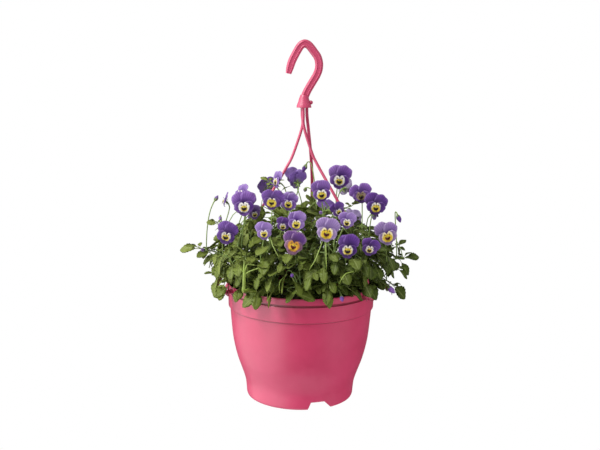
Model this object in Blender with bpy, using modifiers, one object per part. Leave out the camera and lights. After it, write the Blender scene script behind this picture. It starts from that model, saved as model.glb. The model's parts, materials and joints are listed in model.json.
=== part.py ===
"""Viola hanging basket: a moulded pot of soil and violas, hung from a hook on three straps.

Metres, +Z up. Heights are measured from the foot of the pot and the basket is then let
down, so that the origin is the inside of the hook's bend, where the basket hangs.
"""

import math
import random

import bmesh
import bpy
from mathutils import Matrix, Vector
from mathutils.bvhtree import BVHTree

# Driving sizes
HANG_HEIGHT = 0.587
CLEARANCE = 0.0003
ROUND_SIDES = 28

# Pot
FOOT_RADIUS = 0.0905
FLOOR_UNDERSIDE = 0.0150
FLOOR_TOP = 0.0172
LIP_HEIGHT = 0.1970
POT_OUTSIDE = (
    (0.1249, LIP_HEIGHT),
    (0.1260, 0.1950),
    (0.1258, 0.1848),
    (0.1242, 0.1834),
    (0.1248, 0.1815),
    (0.1234, 0.1555),
    (0.1213, 0.1530),
    (0.1168, 0.1100),
    (0.1131, 0.0880),
    (0.1078, 0.0670),
    (0.1018, 0.0500),
    (0.0963, 0.0340),
    (0.0934, 0.0220),
    (0.0916, 0.0030),
    (FOOT_RADIUS, 0.0),
)
POT_INSIDE = (
    (0.0890, FLOOR_TOP),
    (0.0940, 0.0340),
    (0.1054, 0.0670),
    (0.1144, 0.1100),
    (0.1186, 0.1500),
    (0.1218, 0.1930),
)
FOOT_WALL = 0.0024
NOTCH_AZIMUTHS = (-72, 48, 168)
NOTCH_WIDTH = 0.040
NOTCH_TOP_SHARE = 0.5
NOTCH_HEIGHT = 0.013
NOTCH_DEPTH = 0.030
DRAIN_RADIUS = 0.0045
DRAIN_RING = 0.060
DRAIN_HOLES = 5
DRAIN_SIDES = 8
DRAIN_MARGIN = 0.005

# Straps, the rim's tongues that they clip to, and the hook
STRAP_AZIMUTHS = {"strap_left": 205, "strap_right": 325, "strap_back": 85}
STRAP_WIDTH = 0.0052
STRAP_DEPTH = 0.0036
STRAP_SIDES = 6
CLIP_RADIUS = 0.1342
CLIP_THICKNESS = 0.0024
CLIP_WIDTH = 0.0140
CLIP_BOTTOM = 0.1835
CLIP_TOP = 0.2010
CLIP_BAR = 0.0036
CLIP_TOP_SHARE = 0.75
CLIP_RISE = 0.0140
CLIP_SETBACK = 0.0040
CLIP_ROOT = 0.0016
SLOT_PLAY = 0.0036
SLOT_DEPTH = 0.0100
TONGUE_WIDTH = 0.0080
TONGUE_HEIGHT = 0.0050
TONGUE_BOTTOM = CLIP_BOTTOM + CLIP_BAR + CLEARANCE
TONGUE_ROOT = 0.1245
TONGUE_REACH = 0.1410
TONGUE_HEAD = 0.0028
TONGUE_HEAD_WIDTH = 0.0090
TONGUE_HEAD_DROP = 0.0030
STRAP_ROUTES = {
    "strap_left": (
        (-0.0032, 0.0005, 0.4965),
        (-0.0026, 0.0, 0.4780),
        (-0.0022, -0.0015, 0.4580),
        (-0.0165, -0.0085, 0.4130),
        (-0.0270, -0.0130, 0.3920),
        (-0.0445, -0.0210, 0.3620),
        (-0.0635, -0.0300, 0.3320),
        (-0.0900, -0.0420, 0.2900),
        (-0.1110, -0.0518, 0.2450),
    ),
    "strap_right": (
        (-0.0006, -0.0068, 0.4965),
        (-0.0002, -0.0075, 0.4780),
        (0.0012, -0.0090, 0.4580),
        (0.0150, -0.0150, 0.4160),
        (0.0240, -0.0200, 0.3980),
        (0.0430, -0.0335, 0.3660),
        (0.0620, -0.0470, 0.3340),
        (0.0860, -0.0620, 0.2920),
        (0.1010, -0.0710, 0.2500),
    ),
    "strap_back": (
        (0.0054, 0.0044, 0.4965),
        (0.0057, 0.0050, 0.4780),
        (0.0090, 0.0130, 0.4500),
        (0.0132, 0.0280, 0.4130),
        (0.0160, 0.0450, 0.3760),
        (0.0170, 0.0680, 0.3340),
        (0.0155, 0.0980, 0.2850),
        (0.0130, 0.1200, 0.2450),
    ),
}
HUB_CENTRE = (0.0005, 0.0)
HUB_BOTTOM = 0.4900
HUB_HEIGHT = 0.0180
HUB_RADIUS = 0.0125
HUB_TOP_RADIUS = 0.0076
HUB_SIDES = 16
SOCKET_DEPTH = 0.0070
SOCKET_WIDTH = STRAP_WIDTH + 0.0012
HOOK_WIDTH = 0.0132
HOOK_DEPTH = 0.0088
HOOK_FLANGE = 0.0026
HOOK_RECESS = 0.0016
HOOK_LINE = (
    (-0.0256, -0.0421),
    (-0.0232, -0.0320),
    (-0.0193, -0.0203),
    (-0.0105, -0.0033),
    (-0.0052, 0.0040),
    (0.0010, 0.0066),
    (0.0078, 0.0032),
    (0.0157, -0.0065),
    (0.0216, -0.0148),
    (0.0243, -0.0250),
    (0.0237, -0.0350),
    (0.0201, -0.0446),
    (0.0143, -0.0545),
    (0.0060, -0.0690),
    (0.0018, -0.0790),
    (0.0005, -0.0860),
)
HOOK_TIP_SHARES = (0.70, 0.94)
HOOK_FOOT_SHARE = 0.95
KNOB_PLACE = (0.0118, 0.0, 0.4985)
KNOB_RADIUS = 0.0034

# Soil
SOIL_TOP = 0.1690
SOIL_GAP = 0.0006
SOIL_RIM = ((0.1150, 0.1640), (0.1192, 0.1620))
SOIL_WALL_TOP = 0.1590
CROWN_RADIUS = 0.0044
CROWN_FOOT = 0.1460
CROWN_TOP = 0.1760
CROWN_SIDES = 6
CROWN_SINK = 0.0060
HOLE_GAP = 0.0006
HOLE_TOP = 0.1800

# Plants: the place of each crown, as azimuth and radius
CROWNS = {
    "plant_left": (188, 0.072),
    "plant_front_left": (238, 0.074),
    "plant_front_right": (290, 0.076),
    "plant_right": (345, 0.072),
    "plant_back_right": (48, 0.072),
    "plant_back_left": (128, 0.072),
    "plant_centre": (90, 0.006),
}

# Shoots of each plant: where the shoot ends, the length of its end leaf, the leaf's pitch, side leaves
SHOOTS = {
    "plant_left": (
        ((-0.172, -0.002, 0.251), 0.032, 2, 2),
        ((-0.146, -0.022, 0.240), 0.020, -55, 1),
        ((-0.140, -0.018, 0.296), 0.018, 15, 2),
        ((-0.137, -0.042, 0.214), 0.034, -64, 1),
        ((-0.118, 0.028, 0.268), 0.028, 25, 2),
        ((-0.150, 0.042, 0.226), 0.030, -20, 2),
        ((-0.100, -0.028, 0.262), 0.027, 35, 2),
    ),
    "plant_front_left": (
        ((-0.124, -0.062, 0.212), 0.032, -68, 1),
        ((-0.098, -0.096, 0.208), 0.020, -62, 1),
        ((-0.071, -0.115, 0.214), 0.032, -62, 2),
        ((-0.050, -0.122, 0.212), 0.024, -66, 1),
        ((-0.089, -0.108, 0.258), 0.023, 62, 2),
        ((-0.104, -0.070, 0.262), 0.026, 20, 3),
        ((-0.052, -0.088, 0.264), 0.027, 30, 2),
    ),
    "plant_front_right": (
        ((0.040, -0.127, 0.218), 0.030, -62, 2),
        ((-0.004, -0.130, 0.214), 0.026, -55, 2),
        ((0.072, -0.117, 0.216), 0.030, -50, 2),
        ((0.012, -0.108, 0.258), 0.032, 25, 3),
        ((0.054, -0.098, 0.256), 0.029, 20, 2),
        ((-0.020, -0.092, 0.262), 0.026, 40, 2),
    ),
    "plant_right": (
        ((0.172, -0.004, 0.240), 0.027, 4, 2),
        ((0.162, 0.010, 0.256), 0.020, 35, 1),
        ((0.160, -0.026, 0.228), 0.024, -35, 1),
        ((0.150, -0.044, 0.204), 0.030, -38, 1),
        ((0.100, -0.092, 0.222), 0.034, -48, 2),
        ((0.112, -0.062, 0.262), 0.030, 25, 3),
        ((0.128, 0.014, 0.270), 0.026, 35, 2),
    ),
    "plant_back_right": (
        ((0.122, 0.088, 0.244), 0.032, 10, 2),
        ((0.086, 0.124, 0.222), 0.034, -45, 1),
        ((0.062, 0.092, 0.274), 0.032, 30, 2),
        ((0.146, 0.056, 0.216), 0.030, -40, 2),
        ((0.034, 0.134, 0.230), 0.028, -20, 2),
    ),
    "plant_back_left": (
        ((-0.112, 0.092, 0.246), 0.032, 10, 2),
        ((-0.072, 0.130, 0.222), 0.034, -45, 1),
        ((-0.050, 0.096, 0.276), 0.032, 30, 2),
        ((-0.136, 0.072, 0.216), 0.030, -40, 2),
        ((-0.024, 0.136, 0.226), 0.028, -25, 2),
    ),
    "plant_centre": (
        ((-0.056, 0.030, 0.362), 0.018, 30, 3),
        ((0.084, 0.006, 0.326), 0.017, 40, 2),
        ((0.036, -0.030, 0.316), 0.023, 35, 2),
        ((-0.024, -0.040, 0.292), 0.028, 30, 2),
        ((0.002, 0.044, 0.306), 0.030, 40, 1),
    ),
}

# Open blooms: place of the face, width, azimuth and pitch that it faces, roll to its own left
BLOOMS = (
    ((-0.0926, -0.0740, 0.3320), 0.0385, -98, 2, 4, "purple"),
    ((-0.1010, -0.0460, 0.3500), 0.0290, -140, 20, 10, "lilac"),
    ((-0.0482, -0.0920, 0.3438), 0.0330, -95, 5, -6, "violet"),
    ((-0.0430, -0.0378, 0.3700), 0.0290, -150, 5, 12, "lilac"),
    ((-0.0102, -0.0440, 0.3700), 0.0310, 120, 10, 0, "violet"),
    ((-0.0220, -0.0700, 0.3380), 0.0300, -100, 5, -8, "lilac"),
    ((0.0304, -0.0780, 0.3552), 0.0350, -88, 0, 8, "purple"),
    ((0.0608, -0.0100, 0.3695), 0.0400, -86, 2, -8, "purple"),
    ((0.0967, -0.0340, 0.3476), 0.0345, -100, 5, 14, "purple"),
    ((0.1184, -0.0580, 0.3325), 0.0375, -82, 2, -6, "violet"),
    ((0.0701, -0.1005, 0.3143), 0.0270, -92, 8, -10, "lilac"),
    ((0.0581, -0.0780, 0.3280), 0.0240, -80, 0, 20, "violet"),
    ((0.0380, -0.1190, 0.3002), 0.0395, -90, 4, -10, "pale"),
    ((-0.0091, -0.1138, 0.3130), 0.0315, -90, 6, -5, "lilac"),
    ((-0.0132, -0.1290, 0.2810), 0.0370, -84, 22, -16, "tawny"),
    ((-0.0588, -0.1151, 0.2976), 0.0280, -94, 4, 6, "lilac"),
    ((-0.1208, -0.0880, 0.2870), 0.0360, -96, 2, -14, "violet"),
    ((0.0711, -0.1222, 0.2743), 0.0380, -90, 3, -5, "violet"),
    ((0.1060, -0.1060, 0.2729), 0.0290, -84, 2, -16, "violet"),
    ((0.1376, -0.0715, 0.2869), 0.0385, -80, 4, 10, "pale"),
    ((-0.1310, -0.0060, 0.3319), 0.0240, -165, 10, 0, "purple"),
    ((-0.0770, -0.0600, 0.3190), 0.0230, -70, 0, 10, "lilac"),
    ((-0.0300, -0.0940, 0.3060), 0.0230, -100, -5, 0, "violet"),
    ((-0.0130, 0.0600, 0.3620), 0.0350, 86, 8, 6, "purple"),
    ((-0.0620, 0.0640, 0.3440), 0.0340, 118, 6, -8, "violet"),
    ((0.0720, 0.0560, 0.3500), 0.0360, 60, 6, 10, "pale"),
    ((-0.1120, 0.0440, 0.3160), 0.0330, 155, 4, 4, "purple"),
    ((0.1260, 0.0420, 0.3080), 0.0340, 25, 4, -8, "violet"),
    ((-0.0260, 0.1100, 0.3120), 0.0350, 96, 6, -12, "lilac"),
    ((0.0420, 0.1160, 0.3020), 0.0330, 76, 4, 8, "violet"),
    ((-0.0860, 0.1040, 0.2860), 0.0340, 128, 4, 10, "purple"),
    ((0.0960, 0.1010, 0.2840), 0.0350, 50, 4, -6, "lilac"),
    ((0.0060, 0.1410, 0.2680), 0.0330, 88, 6, 5, "purple"),
)

# Buds: place of the base, length, azimuth and pitch that the tip points to, colour
BUDS = (
    ((0.0060, 0.0000, 0.3960), 0.015, 200, -62, "violet"),
    ((0.1600, -0.0040, 0.3140), 0.016, -60, -50, "violet"),
    ((-0.1470, -0.0040, 0.3330), 0.013, 60, 40, "lilac"),
    ((-0.1340, -0.0420, 0.3120), 0.010, -90, -20, "lilac"),
    ((0.1380, -0.0960, 0.2120), 0.018, -50, -25, "purple"),
    ((-0.1600, -0.0440, 0.2560), 0.011, -120, 20, "lilac"),
    ((-0.0140, -0.1380, 0.2400), 0.011, -95, -10, "violet"),
    ((0.0620, -0.1360, 0.2060), 0.013, -80, -30, "violet"),
    ((0.0300, -0.0900, 0.3280), 0.011, -100, 20, "lilac"),
    ((0.0060, 0.0900, 0.3440), 0.013, 100, -30, "violet"),
)

# Leaf outline: share of the length from the stalk, half width as a share of the length
LEAF_SIDE = ((0.38, 0.235), (0.56, 0.330), (0.66, 0.265), (0.84, 0.250))
LEAF_MIDDLE = 0.62
LEAF_FOLD = 0.20
LEAF_WAVE = 0.10
LEAF_DROOP = 0.22
LEAF_THICKNESS = 0.0008
LEAF_PROBE_THICKNESS = 0.0022
LEAF_PROBE_START = 0.16
LEAF_TRIES = 9
STEM_SIDES = 3
SHOOT_RADIUS = 0.0015
SHOOT_TAPER = 0.35
SHOOT_STEPS = 5
SHOOT_BENDS = (0, 0.15, -0.15, 0.3, -0.3, 0.45, -0.45)
SHOOT_PROBE = 1.6
STALK_RADIUS = 0.0009
STALK_STEPS = 4
STALK_BENDS = (0, 0.2, -0.2, 0.4, -0.4)
STALK_PROBE = 1.7
STALK_TRIES = 60
STALK_LOWEST = 0.206
STALK_USUAL_DROP = 0.070
CALYX_RADIUS = 0.0019
CALYX_DEPTH = 0.0042
BUD_CALYX_SHARE = 0.7
GOLDEN_ANGLE = 137.5
SEED = 41

BUD_SHARE = 0.5

# Petal stations: direction from the throat, reach and half width as shares of the bloom's width
PETAL_THICKNESS = 0.0007
BLOOM_CORE = 0.0024
UPPER_STATIONS = ((54, 0.12, 0.085), (60, 0.50, 0.275), (62, 0.75, 0.15))
SIDE_STATIONS = ((-18, 0.11, 0.075), (6, 0.35, 0.17))
LOWER_STATIONS = ((-90, 0.10, 0.070), (-90, 0.31, 0.24))
PETAL_CURL = (1, 1.15, 0.9)

# Petals: 1 for the right or -1 for the left, how far the petal stands forward, its stations
PETALS = (
    (1, -0.0014, UPPER_STATIONS),
    (-1, -0.0030, UPPER_STATIONS),
    (1, 0.0016, SIDE_STATIONS),
    (-1, 0.0016, SIDE_STATIONS),
    (1, 0.0, LOWER_STATIONS),
)

COLOURS = {
    "pot": (0.62, 0.055, 0.135),
    "soil": (0.030, 0.018, 0.011),
    "leaf": (0.055, 0.130, 0.022),
    "purple": (0.120, 0.045, 0.330),
    "violet": (0.070, 0.016, 0.215),
    "lilac": (0.280, 0.150, 0.520),
    "pale": (0.330, 0.200, 0.540),
    "tawny": (0.300, 0.090, 0.120),
}
ROUGHNESS = {"pot": 0.42, "soil": 0.95, "leaf": 0.50}


def clear_scene():
    for obj in list(bpy.data.objects):
        bpy.data.objects.remove(obj, do_unlink=True)


def new_collection(name, hidden=False):
    collection = bpy.data.collections.new(name)
    bpy.context.scene.collection.children.link(collection)
    collection.hide_render = hidden
    return collection


def material(name):
    """A plain material in the part's own colour."""
    made = bpy.data.materials.get(name)
    if made is None:
        made = bpy.data.materials.new(name)
        made.use_nodes = True
        shader = made.node_tree.nodes["Principled BSDF"]
        shader.inputs["Base Color"].default_value = (*COLOURS[name], 1)
        shader.inputs["Roughness"].default_value = ROUGHNESS.get(name, 0.6)
        shader.inputs["Metallic"].default_value = 0
    return made


def add_object(name, data, collection, finish=None):
    obj = bpy.data.objects.new(name, data)
    collection.objects.link(obj)
    obj.parent = bpy.data.objects.get("hang_point")
    if finish:
        data.materials.append(material(finish))
    if collection is CUTTERS:
        obj.hide_render = True
        obj.display_type = "WIRE"
    return obj


def mesh_from(bm, name):
    """A closed mesh whose faces point outwards."""
    bmesh.ops.recalc_face_normals(bm, faces=bm.faces)
    if bm.calc_volume(signed=True) < 0:
        bmesh.ops.reverse_faces(bm, faces=bm.faces)
    mesh = bpy.data.meshes.new(name)
    bm.to_mesh(mesh)
    bm.free()
    return mesh


def box(name, size, matrix, collection, top_share=1.0):
    """A block centred on the matrix, whose top may be shorter in X than its foot."""
    bm = bmesh.new()
    bmesh.ops.create_cube(bm, size=1.0)
    for vert in bm.verts:
        vert.co = Vector(a * b for a, b in zip(vert.co, size))
        if vert.co.z > 0:
            vert.co.x *= top_share
    bm.transform(matrix)
    return add_object(name, mesh_from(bm, name), collection)


def cylinder(name, radius, bottom, top, place, sides, collection):
    bm = bmesh.new()
    bmesh.ops.create_cone(
        bm, cap_ends=True, segments=sides, radius1=radius, radius2=radius, depth=top - bottom
    )
    bm.transform(Matrix.Translation((place[0], place[1], (top + bottom) / 2)))
    return add_object(name, mesh_from(bm, name), collection)


def turned(name, profile, collection, finish):
    """A profile from the axis, down its outer side and back to the axis, turned about Z."""
    mesh = bpy.data.meshes.new(name)
    edges = [(i, i + 1) for i in range(len(profile) - 1)]
    mesh.from_pydata([(r, 0, z) for r, z in profile], edges, [])
    obj = add_object(name, mesh, collection, finish)
    screw = obj.modifiers.new("Turn", "SCREW")
    screw.steps = ROUND_SIDES
    screw.render_steps = ROUND_SIDES
    screw.use_merge_vertices = True
    screw.merge_threshold = 0.0001
    screw.use_smooth_shade = True
    return obj


def cut(obj, cutter, operation="DIFFERENCE"):
    boolean = obj.modifiers.new(cutter.name, "BOOLEAN")
    boolean.operation = operation
    boolean.object = cutter
    boolean.solver = "EXACT"


def radial_frame(azimuth, radius, height):
    """X along the rim, Y outwards, Z up, at this azimuth."""
    turn = Matrix.Rotation(math.radians(azimuth - 90), 4, "Z")
    return turn @ Matrix.Translation((0, radius, height))


def evaluated_mesh(obj):
    bpy.context.view_layer.update()
    return bpy.data.meshes.new_from_object(obj.evaluated_get(bpy.context.evaluated_depsgraph_get()))


def meshed(obj, collection, finish=None):
    """The object as a plain mesh with its loose caps joined, in place of a curve."""
    mesh = evaluated_mesh(obj)
    bm = bmesh.new()
    bm.from_mesh(mesh)
    bmesh.ops.remove_doubles(bm, verts=bm.verts, dist=0.00001)
    bpy.data.meshes.remove(mesh)
    name = obj.name
    bpy.data.objects.remove(obj)
    return add_object(name, mesh_from(bm, name), collection, finish)


def curve_between(points, radii, name, outline):
    """A poly curve through the points, swept with the outline."""
    curve = bpy.data.curves.new(name, "CURVE")
    curve.dimensions = "3D"
    curve.use_fill_caps = True
    curve.twist_mode = "MINIMUM"
    curve.bevel_mode = "OBJECT"
    curve.bevel_object = outline
    spline = curve.splines.new("POLY")
    spline.points.add(len(points) - 1)
    for spot, point, radius in zip(spline.points, points, radii):
        spot.co = (*point, 1)
        spot.radius = radius
    return curve


def round_outline(sides, half_width, half_depth):
    angles = [math.tau * k / sides for k in range(sides)]
    return [(half_width * math.cos(a), half_depth * math.sin(a)) for a in angles]


def section(name, points):
    """A closed outline that a curve is swept with."""
    curve = bpy.data.curves.new(name, "CURVE")
    curve.dimensions = "2D"
    spline = curve.splines.new("POLY")
    spline.points.add(len(points) - 1)
    for spot, (x, y) in zip(spline.points, points):
        spot.co = (x, y, 0, 1)
    spline.use_cyclic_u = True
    return add_object(name, curve, CUTTERS)


def pot():
    inner = FOOT_RADIUS - FOOT_WALL
    foot = ((inner, 0), (inner, FLOOR_UNDERSIDE), (0, FLOOR_UNDERSIDE))
    obj = turned("pot", ((0, FLOOR_TOP), *POT_INSIDE, *POT_OUTSIDE, *foot), PARTS, "pot")
    for azimuth in NOTCH_AZIMUTHS:
        size = (NOTCH_WIDTH, NOTCH_DEPTH, NOTCH_HEIGHT * 2)
        frame = radial_frame(azimuth, FOOT_RADIUS, 0)
        cut(obj, box(f"notch_{azimuth}", size, frame, CUTTERS, NOTCH_TOP_SHARE))
    for index in range(DRAIN_HOLES):
        angle = math.tau * index / DRAIN_HOLES
        place = (DRAIN_RING * math.cos(angle), DRAIN_RING * math.sin(angle))
        bottom = FLOOR_UNDERSIDE - DRAIN_MARGIN
        top = FLOOR_TOP + DRAIN_MARGIN
        cut(obj, cylinder(f"drain_{index}", DRAIN_RADIUS, bottom, top, place, DRAIN_SIDES, CUTTERS))
    for name, azimuth in STRAP_AZIMUTHS.items():
        for block in tongue(name, azimuth):
            cut(obj, block, "UNION")
    return obj


def tongue(name, azimuth):
    """The rim's tongue that a strap's clip hangs under, with its turned-down head."""
    middle = TONGUE_BOTTOM + TONGUE_HEIGHT / 2
    size = (TONGUE_WIDTH, TONGUE_REACH - TONGUE_ROOT, TONGUE_HEIGHT)
    frame = radial_frame(azimuth, (TONGUE_REACH + TONGUE_ROOT) / 2, middle)
    yield box(f"{name}_tongue", size, frame, CUTTERS)
    top = TONGUE_BOTTOM + TONGUE_HEIGHT + 0.0010
    bottom = TONGUE_BOTTOM - TONGUE_HEAD_DROP
    size = (TONGUE_HEAD_WIDTH, TONGUE_HEAD, top - bottom)
    frame = radial_frame(azimuth, TONGUE_REACH, (top + bottom) / 2)
    yield box(f"{name}_tongue_head", size, frame, CUTTERS)


def soil():
    """The filling, which stands clear of the pot's wall and has a plain hole for each crown."""
    bottom = FLOOR_TOP + CLEARANCE
    wall = [(r - SOIL_GAP, max(z, bottom)) for r, z in POT_INSIDE if z < SOIL_WALL_TOP]
    obj = turned("soil", ((0, SOIL_TOP), *SOIL_RIM, *reversed(wall), (0, bottom)), PARTS, "soil")
    for name in CROWNS:
        radius = CROWN_RADIUS + HOLE_GAP
        place = crown_place(name)
        hole_foot = CROWN_FOOT - CLEARANCE
        cut(obj, cylinder(f"{name}_hole", radius, hole_foot, HOLE_TOP, place, CROWN_SIDES, CUTTERS))
    return obj


def crown_place(name):
    azimuth, radius = CROWNS[name]
    angle = math.radians(azimuth)
    return radius * math.cos(angle), radius * math.sin(angle)


def hook():
    """The hook's I-shaped bar, its flared hub and the hub's three sockets."""
    half = HOOK_WIDTH / 2
    web = half - HOOK_FLANGE
    face = HOOK_DEPTH / 2
    low = face - HOOK_RECESS
    quarter = ((half, face), (web, face), (web, low))
    outline = [*quarter]
    outline += [(-x, y) for x, y in reversed(quarter)]
    outline += [(-x, -y) for x, y in quarter]
    outline += [(x, -y) for x, y in reversed(quarter)]
    points = [(x, 0, HANG_HEIGHT + z) for x, z in HOOK_LINE]
    radii = [*HOOK_TIP_SHARES] + [1.0] * (len(points) - 3) + [HOOK_FOOT_SHARE]
    curve = curve_between(points, radii, "hook", section("hook_section", outline))
    obj = meshed(add_object("hook", curve, PARTS), PARTS, "pot")
    bm = bmesh.new()
    bmesh.ops.create_cone(
        bm,
        cap_ends=True,
        segments=HUB_SIDES,
        radius1=HUB_RADIUS,
        radius2=HUB_TOP_RADIUS,
        depth=HUB_HEIGHT,
    )
    bm.transform(Matrix.Translation((*HUB_CENTRE, HUB_BOTTOM + HUB_HEIGHT / 2)))
    cut(obj, add_object("hub", mesh_from(bm, "hub"), CUTTERS), "UNION")
    bm = bmesh.new()
    bmesh.ops.create_uvsphere(bm, u_segments=8, v_segments=5, radius=KNOB_RADIUS)
    bm.transform(Matrix.Translation(KNOB_PLACE))
    cut(obj, add_object("hook_knob", mesh_from(bm, "hook_knob"), CUTTERS), "UNION")
    for name, route in STRAP_ROUTES.items():
        x, y, _ = route[0]
        size = (SOCKET_WIDTH, SOCKET_WIDTH, 2 * SOCKET_DEPTH)
        cut(obj, box(f"{name}_socket", size, Matrix.Translation((x, y, HUB_BOTTOM)), CUTTERS))
    return obj


def strap(name):
    """A strap from its socket in the hub to the slotted clip that hangs on the rim's tongue."""
    azimuth = STRAP_AZIMUTHS[name]
    outward = radial_frame(azimuth, CLIP_RADIUS, 0)
    route = [Vector(p) for p in STRAP_ROUTES[name]]
    route[0].z = HUB_BOTTOM + SOCKET_DEPTH - CLEARANCE
    route.append(outward @ Vector((0, -CLIP_SETBACK, CLIP_TOP + CLIP_RISE)))
    route.append(outward @ Vector((0, 0, CLIP_TOP - CLIP_ROOT)))
    outline = section(f"{name}_section", round_outline(STRAP_SIDES, STRAP_WIDTH / 2, STRAP_DEPTH / 2))
    curve = curve_between(route, [1.0] * len(route), name, outline)
    obj = meshed(add_object(name, curve, PARTS), PARTS, "pot")
    size = (CLIP_WIDTH, CLIP_THICKNESS, CLIP_TOP - CLIP_BOTTOM)
    frame = radial_frame(azimuth, CLIP_RADIUS, (CLIP_TOP + CLIP_BOTTOM) / 2)
    cut(obj, box(f"{name}_clip", size, frame, CUTTERS, CLIP_TOP_SHARE), "UNION")
    size = (TONGUE_WIDTH + 2 * CLEARANCE, SLOT_DEPTH, TONGUE_HEIGHT + SLOT_PLAY)
    frame = radial_frame(azimuth, CLIP_RADIUS, CLIP_BOTTOM + CLIP_BAR + size[2] / 2)
    cut(obj, box(f"{name}_slot", size, frame, CUTTERS))
    return obj


def facing_frame(place, azimuth, pitch, roll=0):
    """Z towards the direction given, Y up, turned about Z by the roll."""
    angle, rise = math.radians(azimuth), math.radians(pitch)
    level = Vector((math.cos(angle), math.sin(angle), 0))
    forward = level * math.cos(rise) + Vector((0, 0, math.sin(rise)))
    side = Vector((-math.sin(angle), math.cos(angle), 0))
    up = forward.cross(side)
    frame = Matrix((side, up, forward)).transposed().to_4x4()
    frame.translation = place
    return frame @ Matrix.Rotation(math.radians(roll), 4, "Z")


def petal_direction(hand, degrees):
    angle = math.radians(degrees)
    return Vector((hand * math.cos(angle), math.sin(angle), 0))


def bloom_mesh(width, name):
    """Five petals drawn out of the sides of a five-sided core, each to its own layer."""
    bm = bmesh.new()
    bmesh.ops.create_cone(
        bm,
        cap_ends=True,
        segments=len(PETALS),
        radius1=BLOOM_CORE,
        radius2=BLOOM_CORE,
        depth=PETAL_THICKNESS,
    )
    bm.normal_update()
    sides = [face for face in bm.faces if abs(face.normal.z) < 0.5]
    for hand, lift, stations in PETALS:
        outward = petal_direction(hand, stations[0][0])
        face = max(sides, key=lambda side: side.normal.dot(outward))
        sides.remove(face)
        for curl, (direction, reach, half) in zip(PETAL_CURL, stations):
            outward = petal_direction(hand, direction)
            across = Vector((-outward.y, outward.x, 0))
            face = bmesh.ops.extrude_discrete_faces(bm, faces=[face])["faces"][0]
            middle = sum(vert.co.z for vert in face.verts) / len(face.verts)
            for vert in face.verts:
                edge = math.copysign(half * width, vert.co.dot(across))
                face_half = math.copysign(PETAL_THICKNESS / 2, vert.co.z - middle)
                vert.co = outward * reach * width + across * edge
                vert.co.z = lift * curl + face_half
    return mesh_from(bm, name)


def bloom(index, place, width, azimuth, pitch, roll, colour):
    name = f"bloom_{index:02d}"
    obj = add_object(name, bloom_mesh(width, name), PARTS, colour)
    obj.matrix_local = facing_frame(place, azimuth, pitch, roll)
    return obj


def bud(index, place, length, azimuth, pitch, colour):
    """A rolled bud: a long drop that stands just clear of its calyx."""
    name = f"bud_{index:02d}"
    bm = bmesh.new()
    bmesh.ops.create_uvsphere(bm, u_segments=6, v_segments=4, radius=0.5)
    size = Matrix.Diagonal((length * BUD_SHARE, length * BUD_SHARE, length, 1))
    bm.transform(Matrix.Translation((0, 0, length / 2)) @ size)
    obj = add_object(name, mesh_from(bm, name), PARTS, colour)
    obj.matrix_local = facing_frame(place, azimuth, pitch)
    return obj


def surface(mesh, matrix=None):
    """A search tree of a mesh, to tell whether another one touches it."""
    bm = bmesh.new()
    bm.from_mesh(mesh)
    if matrix:
        bm.transform(matrix)
    tree = BVHTree.FromBMesh(bm)
    bm.free()
    return tree


def bezier(a, b, c, d, steps):
    points = []
    for step in range(steps + 1):
        t = step / steps
        s = 1 - t
        points.append(a * s**3 + b * 3 * s * s * t + c * 3 * s * t * t + d * t**3)
    return points


def tube(points, radii, name):
    """A three-sided stem along the points."""
    curve = curve_between(points, radii, name, bpy.data.objects["stem_section"])
    return meshed(add_object(name, curve, HELPERS), HELPERS)


def tube_probe(points, radius):
    """A thick triangular tube that stands for a stem when its way is tested."""
    bm = bmesh.new()
    rings = []
    for i, point in enumerate(points):
        ahead = points[min(i + 1, len(points) - 1)] - points[max(i - 1, 0)]
        turn = ahead.to_track_quat("Z", "Y")
        outline = round_outline(STEM_SIDES, radius, radius)
        rings.append([bm.verts.new(point + turn @ Vector((x, y, 0))) for x, y in outline])
    for low, high in zip(rings, rings[1:]):
        for k in range(STEM_SIDES):
            after = (k + 1) % STEM_SIDES
            bm.faces.new((low[k], low[after], high[after], high[k]))
    tree = BVHTree.FromBMesh(bm)
    bm.free()
    return tree


def leaf_blade(length, thickness, start=0.0):
    """A crenate leaf along X, folded along its midrib and drooping, as a closed blade."""
    bm = bmesh.new()
    side = [(x, y, LEAF_WAVE * (-1) ** i) for i, (x, y) in enumerate(LEAF_SIDE)]
    outline = [(start, 0, 0), *side, (1, 0, 0), *((x, -y, wave) for x, y, wave in reversed(side))]
    verts = []
    for x, y, wave in outline:
        z = (LEAF_FOLD + wave) * abs(y) - LEAF_DROOP * x * x
        verts.append(bm.verts.new(Vector((x, y, z)) * length))
    middle = Vector((LEAF_MIDDLE, 0, -LEAF_DROOP * LEAF_MIDDLE**2))
    centre = bm.verts.new(middle * length)
    count = len(verts)
    for i in range(count):
        bm.faces.new((centre, verts[(i + 1) % count], verts[i]))
    grown = bmesh.ops.extrude_face_region(bm, geom=bm.faces[:], use_keep_orig=True)["geom"]
    for vert in grown:
        if isinstance(vert, bmesh.types.BMVert):
            vert.co.z -= thickness
    bmesh.ops.translate(bm, verts=bm.verts, vec=(0, 0, thickness / 2))
    return bm


def leaf_frame(place, direction, lean):
    """X along the leaf, Z on its upper side, leaning to its own left."""
    direction = direction.normalized()
    up = Vector((0, 0, 1)) - direction * direction.z
    if up.length < 0.15:
        up = Vector((-place.x, -place.y, 0))
        up -= direction * up.dot(direction)
    up.normalize()
    side = up.cross(direction)
    frame = Matrix((direction, side, up)).transposed().to_4x4()
    frame.translation = place
    return frame @ Matrix.Rotation(lean, 4, "X")


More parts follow.
